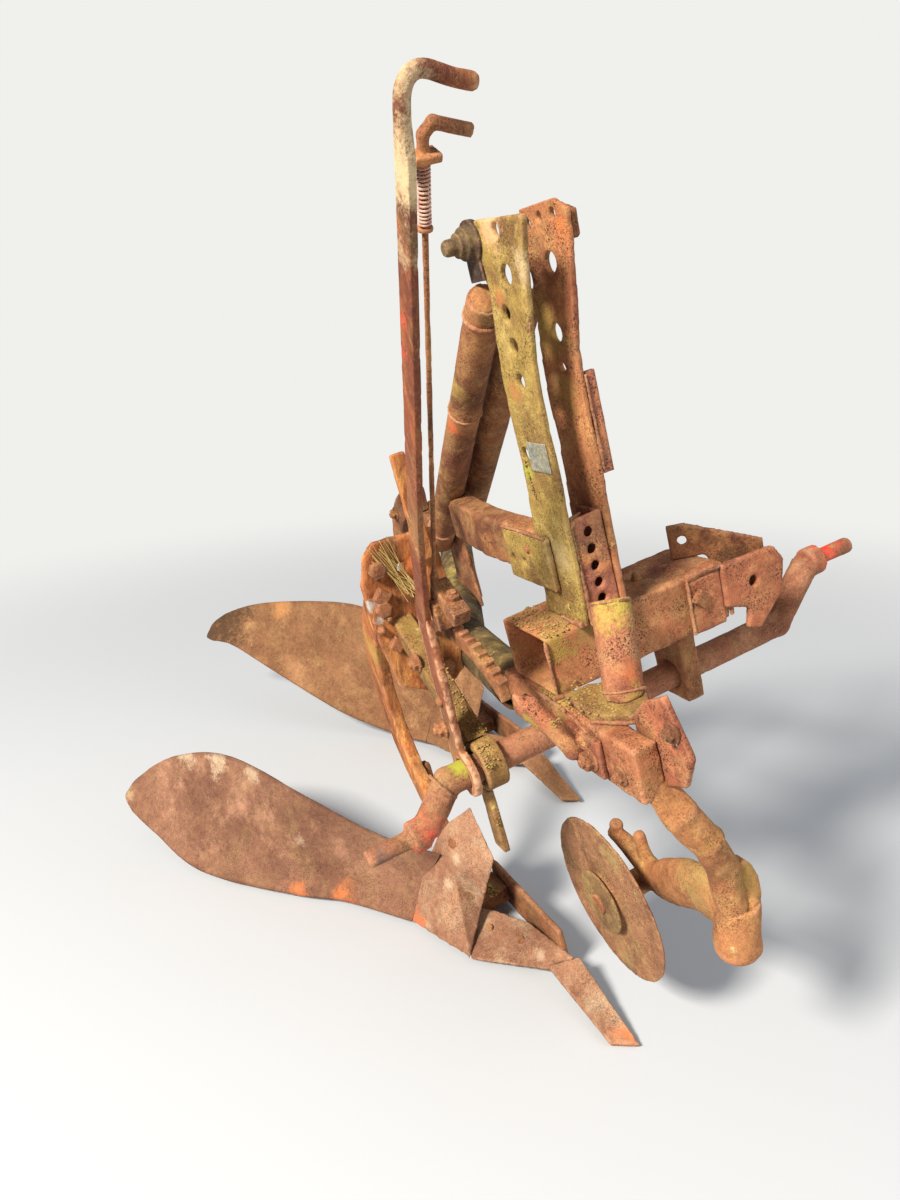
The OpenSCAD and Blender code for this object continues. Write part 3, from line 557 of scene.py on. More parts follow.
STRAW = worn(RUST, "dry_straw", (150, 122, 66), (196, 170, 106), (222, 202, 142), slot="", pits=0.0, grain=0.3,
             growth=-0.3, crust=0.0, rubbed=0.0, bump=0.2)


# Surfaces


def lattice_noise(at: Array, cell: float, seed: int) -> Array:
    """Value noise: random numbers at the corners of cubes, blended inside each cube with smooth weights.

    Args:
        at: places, one row each, in metres.
        cell: side of the cubes.
        seed: which random numbers.

    Returns:
        One number from -1 to 1 for each place.
    """
    scaled = at / cell
    low = np.floor(scaled).astype(np.int64)
    part = scaled - low
    part = part * part * (3.0 - 2.0 * part)
    total = np.zeros(len(at))
    for corner in np.ndindex(2, 2, 2):
        key = low + np.array(corner)
        mixed = (key[:, 0] * 73856093) ^ (key[:, 1] * 19349663) ^ (key[:, 2] * 83492791) ^ (seed * 2654435761)
        mixed = ((mixed ^ (mixed >> 13)) * 1274126177) & 0xFFFFFFFF
        mixed ^= mixed >> 15
        weight = np.prod(np.where(np.array(corner), part, 1.0 - part), axis=1)
        total += weight * ((mixed & 0xFFFF) / 32767.5 - 1.0)
    return total


def fractal(at: Array, cell: float, seed: int, octaves: int = 3) -> Array:
    """Sum of value noises, each with half the cell and half the weight of the last."""
    weights = [0.5**k for k in range(octaves)]
    layers = [w * lattice_noise(at, cell * 0.5**k, seed + k) for k, w in enumerate(weights)]
    return np.sum(layers, axis=0) / sum(weights)


def rise(values: Array, low: float, high: float) -> Array:
    """A smooth step from 0 at low to 1 at high."""
    t = np.clip((values - low) / (high - low), 0.0, 1.0)
    return t * t * (3.0 - 2.0 * t)


def read_mesh(mesh: Mesh) -> tuple[Array, Array, Array]:
    """The vertices, vertex normals and edges of a mesh as arrays."""
    count = len(mesh.vertices)
    at = np.empty(count * 3, np.float32)
    mesh.vertices.foreach_get("co", at)
    out = np.empty(count * 3, np.float32)
    mesh.vertex_normals.foreach_get("vector", out)
    edges = np.empty(len(mesh.edges) * 2, np.int32)
    mesh.edges.foreach_get("vertices", edges)
    return at.reshape(-1, 3).astype(float), out.reshape(-1, 3).astype(float), edges.reshape(-1, 2)


def bulge(at: Array, out: Array, edges: Array, reach: int = 2) -> Array:
    """How far each vertex stands out of its neighbours, along its normal, as a share of the edge length.

    Args:
        at, out, edges: vertices, normals and edges.
        reach: how many times the result is averaged with its neighbours.

    Returns:
        Positive on outer edges, negative in corners, 0 on flat faces.
    """
    count = len(at)
    a, b = edges[:, 0], edges[:, 1]
    degree = np.maximum(np.bincount(edges.ravel(), minlength=count), 1)
    mean = np.zeros((count, 3))
    for k in range(3):
        mean[:, k] = np.bincount(a, at[b, k], count) + np.bincount(b, at[a, k], count)
    mean /= degree[:, None]
    size = np.linalg.norm(at[a] - at[b], axis=1).mean()
    value = np.einsum("ij,ij->i", at - mean, out) / size
    for _ in range(reach):
        near = np.bincount(a, value[b], count) + np.bincount(b, value[a], count)
        value = 0.5 * value + 0.5 * near / degree
    return value


def keep_number(mesh: Mesh, name: str, values: Array) -> None:
    """Stores one number for each vertex of a mesh."""
    layer = mesh.attributes.new(name, "FLOAT", "POINT")
    layer.data.foreach_set("value", values.astype(np.float32))


def note_shape(mesh: Mesh) -> None:
    """Stores the wear, hollow and sky numbers that the finishes read."""
    at, out, edges = read_mesh(mesh)
    value = bulge(at, out, edges)
    keep_number(mesh, "wear", rise(value, 0.04, 0.22))
    keep_number(mesh, "hollow", rise(-value, 0.04, 0.2))
    keep_number(mesh, "sky", np.clip(out[:, 2], 0.0, 1.0))


def move_to(mesh: Mesh, at: Array) -> None:
    """Moves the vertices of a mesh to new places."""
    mesh.vertices.foreach_set("co", at.astype(np.float32).ravel())
    mesh.update()


def smooth(mesh: Mesh) -> Mesh:
    """The same mesh, shaded smooth."""
    mesh.polygons.foreach_set("use_smooth", np.ones(len(mesh.polygons), bool))
    return mesh


def stand(name: str, data: bpy.types.ID) -> Thing:
    """A new object in the scene that shows a mesh, a lamp or a camera."""
    made = bpy.data.objects.new(name, data)
    bpy.context.scene.collection.objects.link(made)
    return made


# Forms


def unit(vector: Array) -> Array:
    """A vector of length 1 the same way."""
    return np.asarray(vector, float) / np.linalg.norm(vector)


def tangents(path: Array) -> Array:
    """The unit vectors along a path at its places."""
    ahead = np.gradient(path, axis=0)
    return ahead / np.linalg.norm(ahead, axis=1)[:, None]


def around(sides: int) -> tuple[Array, Array]:
    """The cosines and sines of evenly spaced angles, one for each side."""
    angle = np.arange(sides) * 2 * np.pi / sides
    return np.cos(angle), np.sin(angle)


def dome_profile(radius: float, high: float, steps: int) -> tuple[tuple[float, float], ...]:
    """The profile of a dome as (distance along, radius), open at its pole."""
    arc = np.linspace(0, np.pi / 2, steps)[:-1]
    return tuple((high * math.sin(a), radius * math.cos(a)) for a in arc)


def square_to(axis: Array) -> tuple[Array, Array]:
    """Two unit vectors square to an axis and to each other."""
    helper = np.array([0.0, 0.0, 1.0]) if abs(axis[2]) < 0.9 else np.array([1.0, 0.0, 0.0])
    side = unit(np.cross(helper, axis))
    return side, np.cross(axis, side)


def cubic(a: Array, b: Array, c: Array, d: Array, t: Array) -> Array:
    """Places on a smooth stretch from b at t = 0 to c at t = 1, between neighbours a and d.

    The stretch follows b + (c - a) t/2 + (a - 5b/2 + 2c - d/2) t^2 + (3b/2 - a/2 - 3c/2 + d/2) t^3.
    """
    return b + (c - a) * t / 2 + (a - 2.5 * b + 2 * c - d / 2) * t**2 + (1.5 * b - a / 2 - 1.5 * c + d / 2) * t**3


def through(points: Array, step: float) -> Array:
    """A smooth curve through points, with places about a step apart.

    Args:
        points: the places to pass, one row each.
        step: the distance between the curve's places.

    Returns:
        The curve's places, one row each.
    """
    points = np.asarray(points, float)
    padded = np.vstack([2 * points[0] - points[1], points, 2 * points[-1] - points[-2]])
    stretches = []
    for k in range(len(points) - 1):
        a, b, c, d = padded[k:k + 4]
        count = max(int(np.linalg.norm(c - b) / step), 1)
        stretches.append(cubic(a, b, c, d, np.arange(count)[:, None] / count))
    return np.vstack(stretches + [points[-1:]])


@dataclass
class Shell:
    """Points and faces of one mesh under work, in the plough's own millimetres."""

    points: list[Array] = field(default_factory=list)
    faces: list[tuple[int, ...]] = field(default_factory=list)
    count: int = 0

    def tube(self, rings: Array) -> Shell:
        """Joins rings of points, rings x sides x 3, into a closed tube with flat ends."""
        rows, sides = rings.shape[:2]
        low = self.count + np.arange(rows - 1)[:, None] * sides + np.arange(sides)
        near = np.roll(low, -1, axis=1)
        quads = np.stack([low, near, near + sides, low + sides], axis=-1).reshape(-1, 4)
        self.faces.extend(map(tuple, quads.tolist()))
        self.faces.append(tuple(range(self.count + sides - 1, self.count - 1, -1)))
        last = self.count + (rows - 1) * sides
        self.faces.append(tuple(range(last, last + sides)))
        self.points.append(rings.reshape(-1, 3))
        self.count += rows * sides
        return self

    def lathe(self, at: Triple, axis: Triple, profile: tuple[tuple[float, float], ...], sides: int = 24) -> Shell:
        """Turns a profile of (distance along, radius) about an axis through a place."""
        line = unit(axis)
        side, up = square_to(line)
        c, s = around(sides)
        circle = c[:, None] * side + s[:, None] * up
        rings = [np.array(at) + line * along + circle * radius for along, radius in profile]
        return self.tube(np.array(rings))

    def sweep(self, path: Array, radius: float | Array, sides: int = 12) -> Shell:
        """Carries a circle, or an ellipse of two half widths a row, along a path without twist."""
        path = np.asarray(path, float)
        tangent = tangents(path)
        side = square_to(tangent[0])[0]
        widths = 2 if np.ndim(radius) == 2 else 1
        halves = np.broadcast_to(np.reshape(radius, (-1, widths)), (len(path), widths))
        c, s = around(sides)
        rings = []
        for centre, ahead, half in zip(path, tangent, halves):
            side = unit(side - ahead * (side @ ahead))
            up = np.cross(ahead, side)
            rings.append(centre + c[:, None] * side * half[0] + s[:, None] * up * half[-1])
        return self.tube(np.array(rings))

    def slab(self, at: Triple, wide: Triple, high: Triple, outline: tuple[tuple[float, float], ...],
             thick: float) -> Shell:
        """A plate with an outline in the plane of two directions, thick along the third."""
        across = np.cross(wide, high)
        flat = np.array(at) + np.array(outline) @ np.array([wide, high], float)
        return self.tube(np.array([flat, flat + across * thick]))

    def mesh(self, name: str) -> Mesh:
        """The mesh of all forms, stood in its place in metres."""
        made = bpy.data.meshes.new(name)
        made.from_pydata(standing(np.vstack(self.points)).tolist(), [], self.faces)
        made.update()
        return made


class Patch(float, Enum):
    """The widths of the noises that move a skin, in metres."""

    WAVE = 0.06
    PIT = 0.016
    FLAKE = 0.035
    BITE = 0.028


@dataclass(frozen=True)
class Weather:
    """How far time has moved a surface, in metres."""

    cell: float = 0.0041
    wave: float = 0.0006
    pit: float = 0.0009
    flake: float = 0.0006
    ragged: float = 0.0015
    seed: int = 1

    def move(self, at: Array, out: Array, edges: Array) -> Array:
        """Moves vertices along their normals by the sum of four noises.

        Long waves swell and sink the skin, pits sink where a finer noise is high, flakes lift it in steps, and outer
        edges are eaten back.

        Args:
            at, out, edges: vertices, normals and edges.

        Returns:
            The new vertices.
        """
        value = bulge(at, out, edges, 1)
        shift = self.wave * fractal(at, Patch.WAVE, self.seed)
        shift -= self.pit * rise(fractal(at, Patch.PIT, self.seed + 11, 2), 0.22, 0.55)
        layers = fractal(at, Patch.FLAKE, self.seed + 23, 3) * 2.5
        shift += self.flake * (np.floor(layers) + rise(layers % 1.0, 0.75, 1.0) - 0.5) * 0.5
        bite = rise(fractal(at, Patch.BITE, self.seed + 37, 3), -0.1, 0.5)
        shift -= self.ragged * bite * rise(value, 0.02, 0.2)
        return at + out * shift[:, None]


@dataclass
class Yard:
    """The frame, the finishes' materials and the ways to add a piece."""

    frame: dict
    shop: ShaderShop = field(default_factory=ShaderShop)
    materials: dict[str, bpy.types.Material] = field(default_factory=dict)

    def dress(self, finish: Finish) -> bpy.types.Material:
        """The material of a finish, built once."""
        if finish.name not in self.materials:
            self.materials[finish.name] = finish.material(self.shop)
        return self.materials[finish.name]

    def body_of(self, node: str) -> str:
        """The body that a frame node rides on."""
        return self.frame["nodes"][node]["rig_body"]

    def add(self, name: str, mesh: Mesh, body: str, finish: Finish) -> Thing:
        """Puts a finished mesh in the scene on a body, with its finish.

        Args:
            name: the piece's name.
            mesh: its mesh, already in place.
            body: the frame body that it rides on.
            finish: its surface.

        Returns:
            The new object.
        """
        note_shape(mesh)
        mesh.materials.clear()
        mesh.materials.append(self.dress(finish))
        made = stand(name, mesh)
        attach(made, body)
        LOG.info("%s: %d faces on %s", name, len(mesh.polygons), body)
        return made

    def merged_copy(self, node: str) -> Mesh:
        """A copy of a frame node's mesh with its doubles merged."""
        work = bmesh.new()
        work.from_mesh(self.frame["nodes"][node].data)
        bmesh.ops.remove_doubles(work, verts=work.verts, dist=1e-5)
        copy = bpy.data.meshes.new(node + "_copy")
        work.to_mesh(copy)
        work.free()
        return copy

    def fine_skin(self, mesh: Mesh, cell: float) -> Mesh:
        """The same solid as small even faces, laid out along the plough's own axes.

        Args:
            mesh: a closed mesh, in place.
            cell: the size of the faces.

        Returns:
            A new closed mesh in the same place.
        """
        mesh.transform(PARKED.to_4x4().inverted())
        carrier = stand("carrier", mesh)
        remesh = carrier.modifiers.new("cells", "REMESH")
        remesh.mode = "VOXEL"
        remesh.voxel_size = cell
        shown = carrier.evaluated_get(bpy.context.evaluated_depsgraph_get())
        fine = bpy.data.meshes.new_from_object(shown)
        bpy.data.objects.remove(carrier)
        fine.transform(PARKED.to_4x4())
        return fine

    def age(self, mesh: Mesh, weather: Weather) -> None:
        """Moves a mesh's skin by its weather and shades it smooth."""
        move_to(smooth(mesh), weather.move(*read_mesh(mesh)))

    def weathered(self, node: str, finish: Finish, weather: Weather,
                  reshape: Callable[[Array], Array] | None = None) -> Thing:
        """Stands a rusted copy of a frame node in its place.

        Args:
            node: the frame node.
            finish: its surface.
            weather: how far the skin is moved.
            reshape: a change to the places of its fine skin, in the plough's millimetres.

        Returns:
            The new object.
        """
        fine = self.fine_skin(self.merged_copy(node), weather.cell)
        if reshape is not None:
            own = (read_mesh(fine)[0] / MM - STAND_AT) @ np.array(PARKED)
            move_to(fine, standing(reshape(own)))
        self.age(fine, weather)
        made = self.add(node + "_worn", fine, self.body_of(node), finish)
        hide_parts(node)
        return made

    def fitting(self, name: str, shell: Shell, node: str, finish: Finish, weather: Weather) -> Thing:
        """Joins a shell's forms into one aged skin on the body of a node."""
        fine = self.fine_skin(shell.mesh(name), weather.cell)
        self.age(fine, weather)
        return self.add(name, fine, self.body_of(node), finish)


@dataclass
class Steelwork:
    """Every frame node that is shown as a weathered copy of itself."""

    yard: Yard
    table: tuple[tuple[str, Finish, Weather], ...]

    def build(self) -> None:
        """Builds the copies in the order of the table, each with its own seed."""
        for seed, (node, finish, weather) in enumerate(self.table):
            self.yard.weathered(node, finish, replace(weather, seed=1 + 53 * seed))


PLAIN = Weather()
HEAVY = Weather(pit=0.0014, flake=0.0012, ragged=0.003)
SMALL = Weather(cell=0.0024, wave=0.0003, pit=0.0004, flake=0.0003, ragged=0.0006)
TINY = Weather(cell=0.0013, wave=0.0003, pit=0.0003, flake=0.0002, ragged=0.0005)
FINE = Weather(cell=0.0034, wave=0.0004, pit=0.0006, flake=0.0004, ragged=0.001)
ROUND = Weather(cell=0.0042, wave=0.0005, pit=0.0008, flake=0.0003, ragged=0.0006)
SHEET = Weather(cell=0.0036, wave=0.0011, pit=0.0003, flake=0.0, ragged=0.001)

STEEL: tuple[tuple[str, Finish, Weather], ...] = (
    ("front_beam", BEAM_RUST, HEAVY),
    ("main_tube", TUBE_MOSS_AND_SHADE, ROUND),
    ("cross_beam", BEAM_RUST, PLAIN),
    ("cross_lap", RED_RUST, FINE),
    ("end_hook", RED_RUST, FINE),
    ("rear_plate", RUST, FINE),
    ("headstock_left", MAST_RED, FINE),
    ("headstock_right", MAST_OCHRE, FINE),
    ("headstock_foot", FOOT_RUST, FINE),
    ("weld_strip", FOOT_RUST, SMALL),
    ("blank_plate", PLATE_GREY, replace(SMALL, cell=0.0014, wave=0.0002, pit=0.0, flake=0.0, ragged=0.0003)),
    ("front_brace", BRACE_RUST, ROUND),
    ("brace_foot", MOSSY, PLAIN),
    ("strut_front", STRUT_RUST, ROUND),
    ("strut_rear", STRUT_RUST, ROUND),
    ("strut_lug", RUST, FINE),
    ("strut_bolt", RUST, SMALL),
    ("bent_brace", BENT_RUST, PLAIN),
    ("brace_post", RUST, FINE),
    ("holed_plate", MAST_OCHRE, FINE),
    ("leg_plate", FLAKY, replace(HEAVY, cell=0.0036)),
    ("red_strip", FLAKY, FINE),
    ("plate_bolts", RUST, SMALL),
    ("shaft_carrier", MOSSY, PLAIN),
    ("shaft_eye", MOSSY, FINE),
    ("shaft_hanger", RUST, PLAIN),
    ("hanging_bar", MOSSY, FINE),
    ("quadrant", BENT_RUST, SMALL),
    ("quadrant_arm", RED_RUST, FINE),
    ("beam_lug", RED_RUST, FINE),
    ("front_leg", FLAKY, PLAIN),
    ("front_frog", RUST, PLAIN),
    ("front_landside", RUST, PLAIN),
    ("front_share", CUTTING, FINE),
    ("front_point", CUTTING, FINE),
    ("front_shin", CUTTING, FINE),
    ("rear_leg_head", RUST, PLAIN),
    ("rear_leg", RUST, PLAIN),
    ("rear_frog", RUST, PLAIN),
    ("rear_landside", RUST, PLAIN),
    ("rear_share", REAR_PLATE, FINE),
    ("rear_point", REAR_PLATE, FINE),
    ("rear_shin", REAR_PLATE, FINE),
    ("cross_shaft", SHAFT, ROUND),
    ("disc_axle", CASTING, SMALL),
    ("coulter_disc", DISC_RUST, FINE),
)


@dataclass
class Mouldboard:
    """One curved board: a smooth sheet between a lower and an upper edge, with a rolled lower lip.

    Each row of stations holds the share of the length, the lower place and the upper place in millimetres.
    """

    yard: Yard
    node: str
    finish: Finish
    stations: tuple[tuple[float, Triple, Triple], ...]
    shift: Triple = (0.0, 0.0, 0.0)
    hollow: float = 34.0
    thick: float = 8.0
    tail_round: float = 0.045
    lip: float = 4.0
    across: tuple[int, int] = (250, 62)
    dip_way: Triple = (0.1, 0.8, -0.45)
    lip_way: Triple = (-0.25, -0.85, 0.2)
    back_way: Triple = (0.25, 0.85, -0.45)

    def edge(self, shares: Array, column: int) -> Array:
        """An edge's places at shares of the length, by the same cubic stretches as a curve through its stations."""
        marks = np.array([row[0] for row in self.stations])
        places = np.array([row[column] for row in self.stations], float)
        last = len(marks) - 1
        k = np.clip(np.searchsorted(marks, shares, "right") - 1, 0, last - 1)
        t = ((shares - marks[k]) / (marks[k + 1] - marks[k]))[..., None]
        a, b, c, d = (places[np.clip(k + j, 0, last)] for j in (-1, 0, 1, 2))
        return cubic(a, b, c, d, t)

    def face(self) -> Array:
        """The working face: straight lines between the edges, hollowed by a half sine wave.

        The share u runs along the board and v from the lower edge up. The tail is rounded by drawing u back with
        the fourth power of the distance from the middle, and the lip comes forward by an exponential of v.

        Returns:
            Places in millimetres, stations along x rows up x 3.
        """
        along, up = np.meshgrid(np.linspace(0, 1, self.across[0]), np.linspace(0, 1, self.across[1]), indexing="ij")
        u = along - self.tail_round * np.abs(2 * up - 1) ** 4 * along**8
        low, high = self.edge(u, 1), self.edge(u, 2)
        dip = (self.hollow * np.sin(np.pi * up) * (1 - 0.6 * u))[..., None] * np.array(self.dip_way)
        roll = (self.lip * np.exp(-up / 0.035) * rise(u, 0.0, 0.12) * (1 - rise(u, 0.5, 0.8)))[..., None]
        return low + (high - low) * up[..., None] + dip + roll * np.array(self.lip_way)

    def build(self, seed: int) -> None:
        """Builds the sheet with its back and rim, ages it and stands it in place of its frame node."""
        face = self.face() + np.array(self.shift)
        back = face + np.array(self.back_way) * self.thick
        rows, columns = face.shape[:2]
        q = np.arange(rows * columns).reshape(rows, columns)
        front = np.stack([q[:-1, :-1], q[1:, :-1], q[1:, 1:], q[:-1, 1:]], -1).reshape(-1, 4)
        rim = np.concatenate([q[:, 0], q[-1, 1:], q[-2::-1, -1], q[0, -2:0:-1]])
        near = np.roll(rim, -1)
        size = rows * columns
        sides = np.stack([near, rim, rim + size, near + size], -1)
        faces = np.concatenate([front, front[:, ::-1] + size, sides])
        shell = Shell([np.concatenate([face.reshape(-1, 3), back.reshape(-1, 3)])], list(map(tuple, faces.tolist())))
        mesh = shell.mesh(self.node + "_sheet")
        self.yard.age(mesh, replace(SHEET, seed=seed))
        made = self.yard.add(self.node + "_sheet", mesh, self.yard.body_of(self.node), self.finish)
        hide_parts(self.node)


FRONT_STATIONS = (
    (0.00, (-207, 452, 70), (-119, 424, 200)),
    (0.22, (-302, 574, 98), (-203, 520, 240)),
    (0.45, (-393, 655, 118), (-289, 620, 316)),
    (0.72, (-544, 820, 162), (-398, 820, 384)),
    (0.90, (-609, 960, 224), (-500, 960, 376)),
    (1.00, (-654, 1060, 286), (-602, 1040, 334)),
)
REAR_STATIONS = (
    (0.00, (-207, 452, 70), (-96, 424, 262)),
    (0.10, (-252, 512, 88), (-136, 470, 318)),
    (0.22, (-297, 572, 112), (-170, 518, 400)),
    (0.45, (-378, 648, 180), (-245, 613, 466)),
    (0.72, (-500, 801, 318), (-375, 801, 482)),
    (0.90, (-568, 931, 386), (-482, 931, 477)),
    (1.00, (-630, 1024, 398), (-581, 1004, 455)),
)


@dataclass
class HandLever:
    """The tall hand lever with its round grip, its latch rod, return spring and clip."""

    yard: Yard
    knee: Triple = (0.0, 96.0, 797.0)
    lean: float = math.radians(33.0)
    bar_x: float = -119.0
    drift: float = -8.0
    bar_top: float = 622.0
    bar_step: float = 2.6
    bar_sides: int = 40
    foot_top: float = 60.0
    foot_narrow: tuple[float, float] = (0.3, 0.34)
    foot_gather: float = 0.2
    halves: tuple[float, float] = (5.0, 14.0)
    grip: tuple[Triple, ...] = ((-127, -256, 1345), (-125, -262, 1360), (-119, -264, 1370), (-110, -265, 1375),
                                (-100, -265, 1374), (-88, -264, 1369), (-76, -263, 1364), (-57, -262, 1358))
    grip_radius: float = 7.6
    rod_x: float = -100.0
    rod_foot: tuple[float, float] = (2.0, 24.0)
    rod_top: tuple[float, float] = (20.0, 626.0)
    rod_reach: float = 7.5
    rod_narrow: float = 0.46
    coil_span: tuple[float, float] = (546.0, 600.0)
    coil_turns: int = 15
    coil_radius: float = 5.4
    wire: float = 1.2

    def axes(self) -> Array:
        """The lever's own directions as rows: across, back and along."""
        c, s = math.cos(self.lean), math.sin(self.lean)
        return np.array([[1, 0, 0], [0, c, s], [0, -s, c]])

    def out(self, at: Array) -> Array:
        """Plough places of points in the lever's own directions from its knee."""
        return np.array(self.knee) + np.asarray(at, float) @ self.axes()

    def into(self, at: Array) -> Array:
        """The lever's own coordinates of plough places."""
        return (at - np.array(self.knee)) @ self.axes().T

    def rod_back(self, height: Array | float) -> Array | float:
        """How far back the latch rod stands at heights along the lever."""
        share = (height - self.rod_foot[1]) / (self.rod_top[1] - self.rod_foot[1])
        return self.rod_foot[0] + (self.rod_top[0] - self.rod_foot[0]) * share

    def middle(self, height: Array) -> Array:
        """How far across the middle of the bar stands at heights along the lever."""
        return self.bar_x + self.drift * rise(height, -20.0, 200.0)

    def foot(self, at: Array) -> Array:
        """Draws everything above the knee into the bar's section, so that the bar covers it."""
        own = self.into(at)
        share = rise(own[:, 2], -40.0, 30.0)
        above = rise(own[:, 2], 20.0, self.foot_top) > 0.99
        centre = self.middle(own[:, 2])
        own[:, 0] += share * (centre - self.bar_x - self.foot_narrow[0] * (own[:, 0] - self.bar_x))
        own[:, 1] *= 1 - self.foot_narrow[1] * share
        own[:, 2] = np.minimum(own[:, 2], self.foot_top)
        own[above, 0] = centre[above] + (own[above, 0] - centre[above]) * self.foot_gather
        own[above, 1] *= self.foot_gather
        return self.out(own)

    def bar(self) -> None:
        """The flat bar above the knee, worked into a round grip at its bent top.

        The section is a superellipse, |x/a|^p + |y/b|^p = 1. Its power p falls from 7 to 2 and its half widths
        a and b draw together where the bar turns into the grip.
        """
        height = np.arange(-14.0, self.bar_top, self.bar_step)
        straight = self.out(np.stack([self.middle(height), 0 * height, height], 1))
        path = np.vstack([straight, through(np.vstack([straight[-1:], self.grip]), self.bar_step)[2:]])
        length = np.concatenate([[0], np.cumsum(np.linalg.norm(np.diff(path, axis=0), axis=1))])
        turn = rise(length, self.bar_top + 4, self.bar_top + 44)
        first = self.halves[0] + (self.grip_radius - self.halves[0]) * turn
        second = self.halves[1] + (self.grip_radius - self.halves[1]) * turn
        end = 1 - 0.25 * rise(length, length[-1] - 4, length[-1])
        power = 2 / (7 - 5 * turn)
        tangent = tangents(path)
        side = np.tile(self.axes()[0], (len(path), 1))
        for k in range(1, len(path)):
            side[k] = unit(side[k - 1] - tangent[k] * (side[k - 1] @ tangent[k]))
        back = np.cross(tangent, side)
        c, s = around(self.bar_sides)
        x = np.sign(c) * np.abs(c) ** power[:, None] * (first * end)[:, None]
        y = np.sign(s) * np.abs(s) ** power[:, None] * (second * end)[:, None]
        rings = path[:, None] + x[..., None] * side[:, None] + y[..., None] * back[:, None]
        mesh = Shell().tube(rings).mesh("lever_bar")
        self.yard.age(mesh, replace(SMALL, wave=0.0005, pit=0.0006, seed=901))
        self.yard.add("lever_bar", mesh, self.yard.body_of("lever"), LEVER_BAR)

    def thin_rod(self, at: Array) -> Array:
        """Draws the latch rod in to half its width between its foot and its top."""
        own = self.into(at)
        axis = np.stack([np.full(len(own), self.rod_x), self.rod_back(own[:, 2])], 1)
        apart = own[:, :2] - axis
        near = np.linalg.norm(apart, axis=1) < self.rod_reach
        share = rise(own[:, 2], 66.0, 90.0) * (1 - rise(own[:, 2], 596.0, 602.0)) * near
        own[:, :2] = axis + apart * (1 - self.rod_narrow * share)[:, None]
        return self.out(own)

    def coil(self) -> None:
        """The return spring: a wire on a helix about the rod, with closer turns at both ends."""
        t = np.linspace(0, 1, self.coil_turns * 22)
        low, high = self.coil_span
        height = low + (high - low) * (t - 0.02 * np.sin(2 * np.pi * t))
        angle = 2 * np.pi * self.coil_turns * t
        own = np.stack([self.rod_x + self.coil_radius * np.cos(angle),
                        self.rod_back(height) + self.coil_radius * np.sin(angle), height], 1)
        mesh = smooth(Shell().sweep(self.out(own), self.wire, 8).mesh("latch_spring_coil"))
        made = self.yard.add("latch_spring_coil", mesh, self.yard.body_of("latch_spring"), COIL)
        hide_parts("latch_spring")

    def clip(self) -> None:
        """The flat clip above the spring and the washer under it."""
        across, back, along = self.axes()
        shell = Shell().slab(self.out((-122.0, 12.0, 603.0)), across, back,
                             ((0, 0), (34, 2), (36, 14), (32, 20), (0, 18)), 6.0)
        shell.lathe(self.out((self.rod_x, self.rod_back(542.0), 541.0)), along, ((0, 8.0), (4, 8.0)))
        self.yard.fitting("spring_clip", shell, "lever", RUST, replace(TINY, seed=905))

    def build(self) -> None:
        """Builds the lever's foot, bar, latch, spring and clip."""
        self.yard.weathered("lever", LEVER_BAR, replace(FINE, cell=0.003, seed=900), self.foot)
        self.bar()
        self.yard.weathered("latch", RUST, replace(SMALL, cell=0.0018, seed=903), self.thin_rod)
        self.coil()
        self.clip()


@dataclass
class LinkKnob:
    """The stepped end of the top link pin, near black with painted shade, and the closed tops of the struts beside it.
    """

    yard: Yard
    at: Triple = (25.0, 52.0, 1243.0)
    profile: tuple[tuple[float, float], ...] = ((-4, 8), (0, 10.5), (12, 10.5), (13, 15), (20, 16), (21, 20), (30, 22),
                                                (31, 27), (41, 26), (42, 14), (48, 14))
    tops: tuple[tuple[Triple, Triple], ...] = (((66, 60, 1176), (-35, -485, 416)), ((127, 75, 1160), (-28, -470, 400)))
    plate: tuple[tuple[float, float], ...] = ((0, 0), (38, 0), (36, 52), (4, 56))
    clip: tuple[tuple[float, float], ...] = ((0, 0), (20, -8), (18, -36), (12, -40))
    tube_radius: float = 24.5
    dome: float = 14.0
    sunk: float = 6.0

    def build(self) -> None:
        """Turns the knob, adds the plate behind it and the mast's clip, and domes the struts' tops."""
        shell = Shell().lathe(self.at, (1, 0, 0), self.profile, 28)
        shell.slab((56, 34, 1196), (0, 1, 0), (0, 0, 1), self.plate, 12.0)
        weather = replace(TINY, cell=0.0017, seed=911)
        made = self.yard.fitting("top_link_knob", shell, "top_link_pin", PAINTED_SHADE_IRON, weather)
        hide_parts("top_link_pin")
        clip = Shell().slab((133, -44, 1256), (0, -1, 0), (0, 0, 1), self.clip, -9.0)
        self.yard.fitting("mast_clip", clip, "headstock_left", RUST, replace(TINY, seed=913))
        domes = Shell()
        for at, ahead in self.tops:
            domes.lathe(at - unit(ahead) * self.sunk, ahead, dome_profile(self.tube_radius, self.dome, 8), 32)
        self.yard.fitting("strut_tops", domes, "strut_front", STRUT_RUST, replace(SMALL, seed=912))


BOLT_SUNK = 2.0


class Head(Enum):
    """The kinds of fastener heads, with the sides that each is turned with."""

    HEX = 6
    SQUARE = 4
    DOME = 20


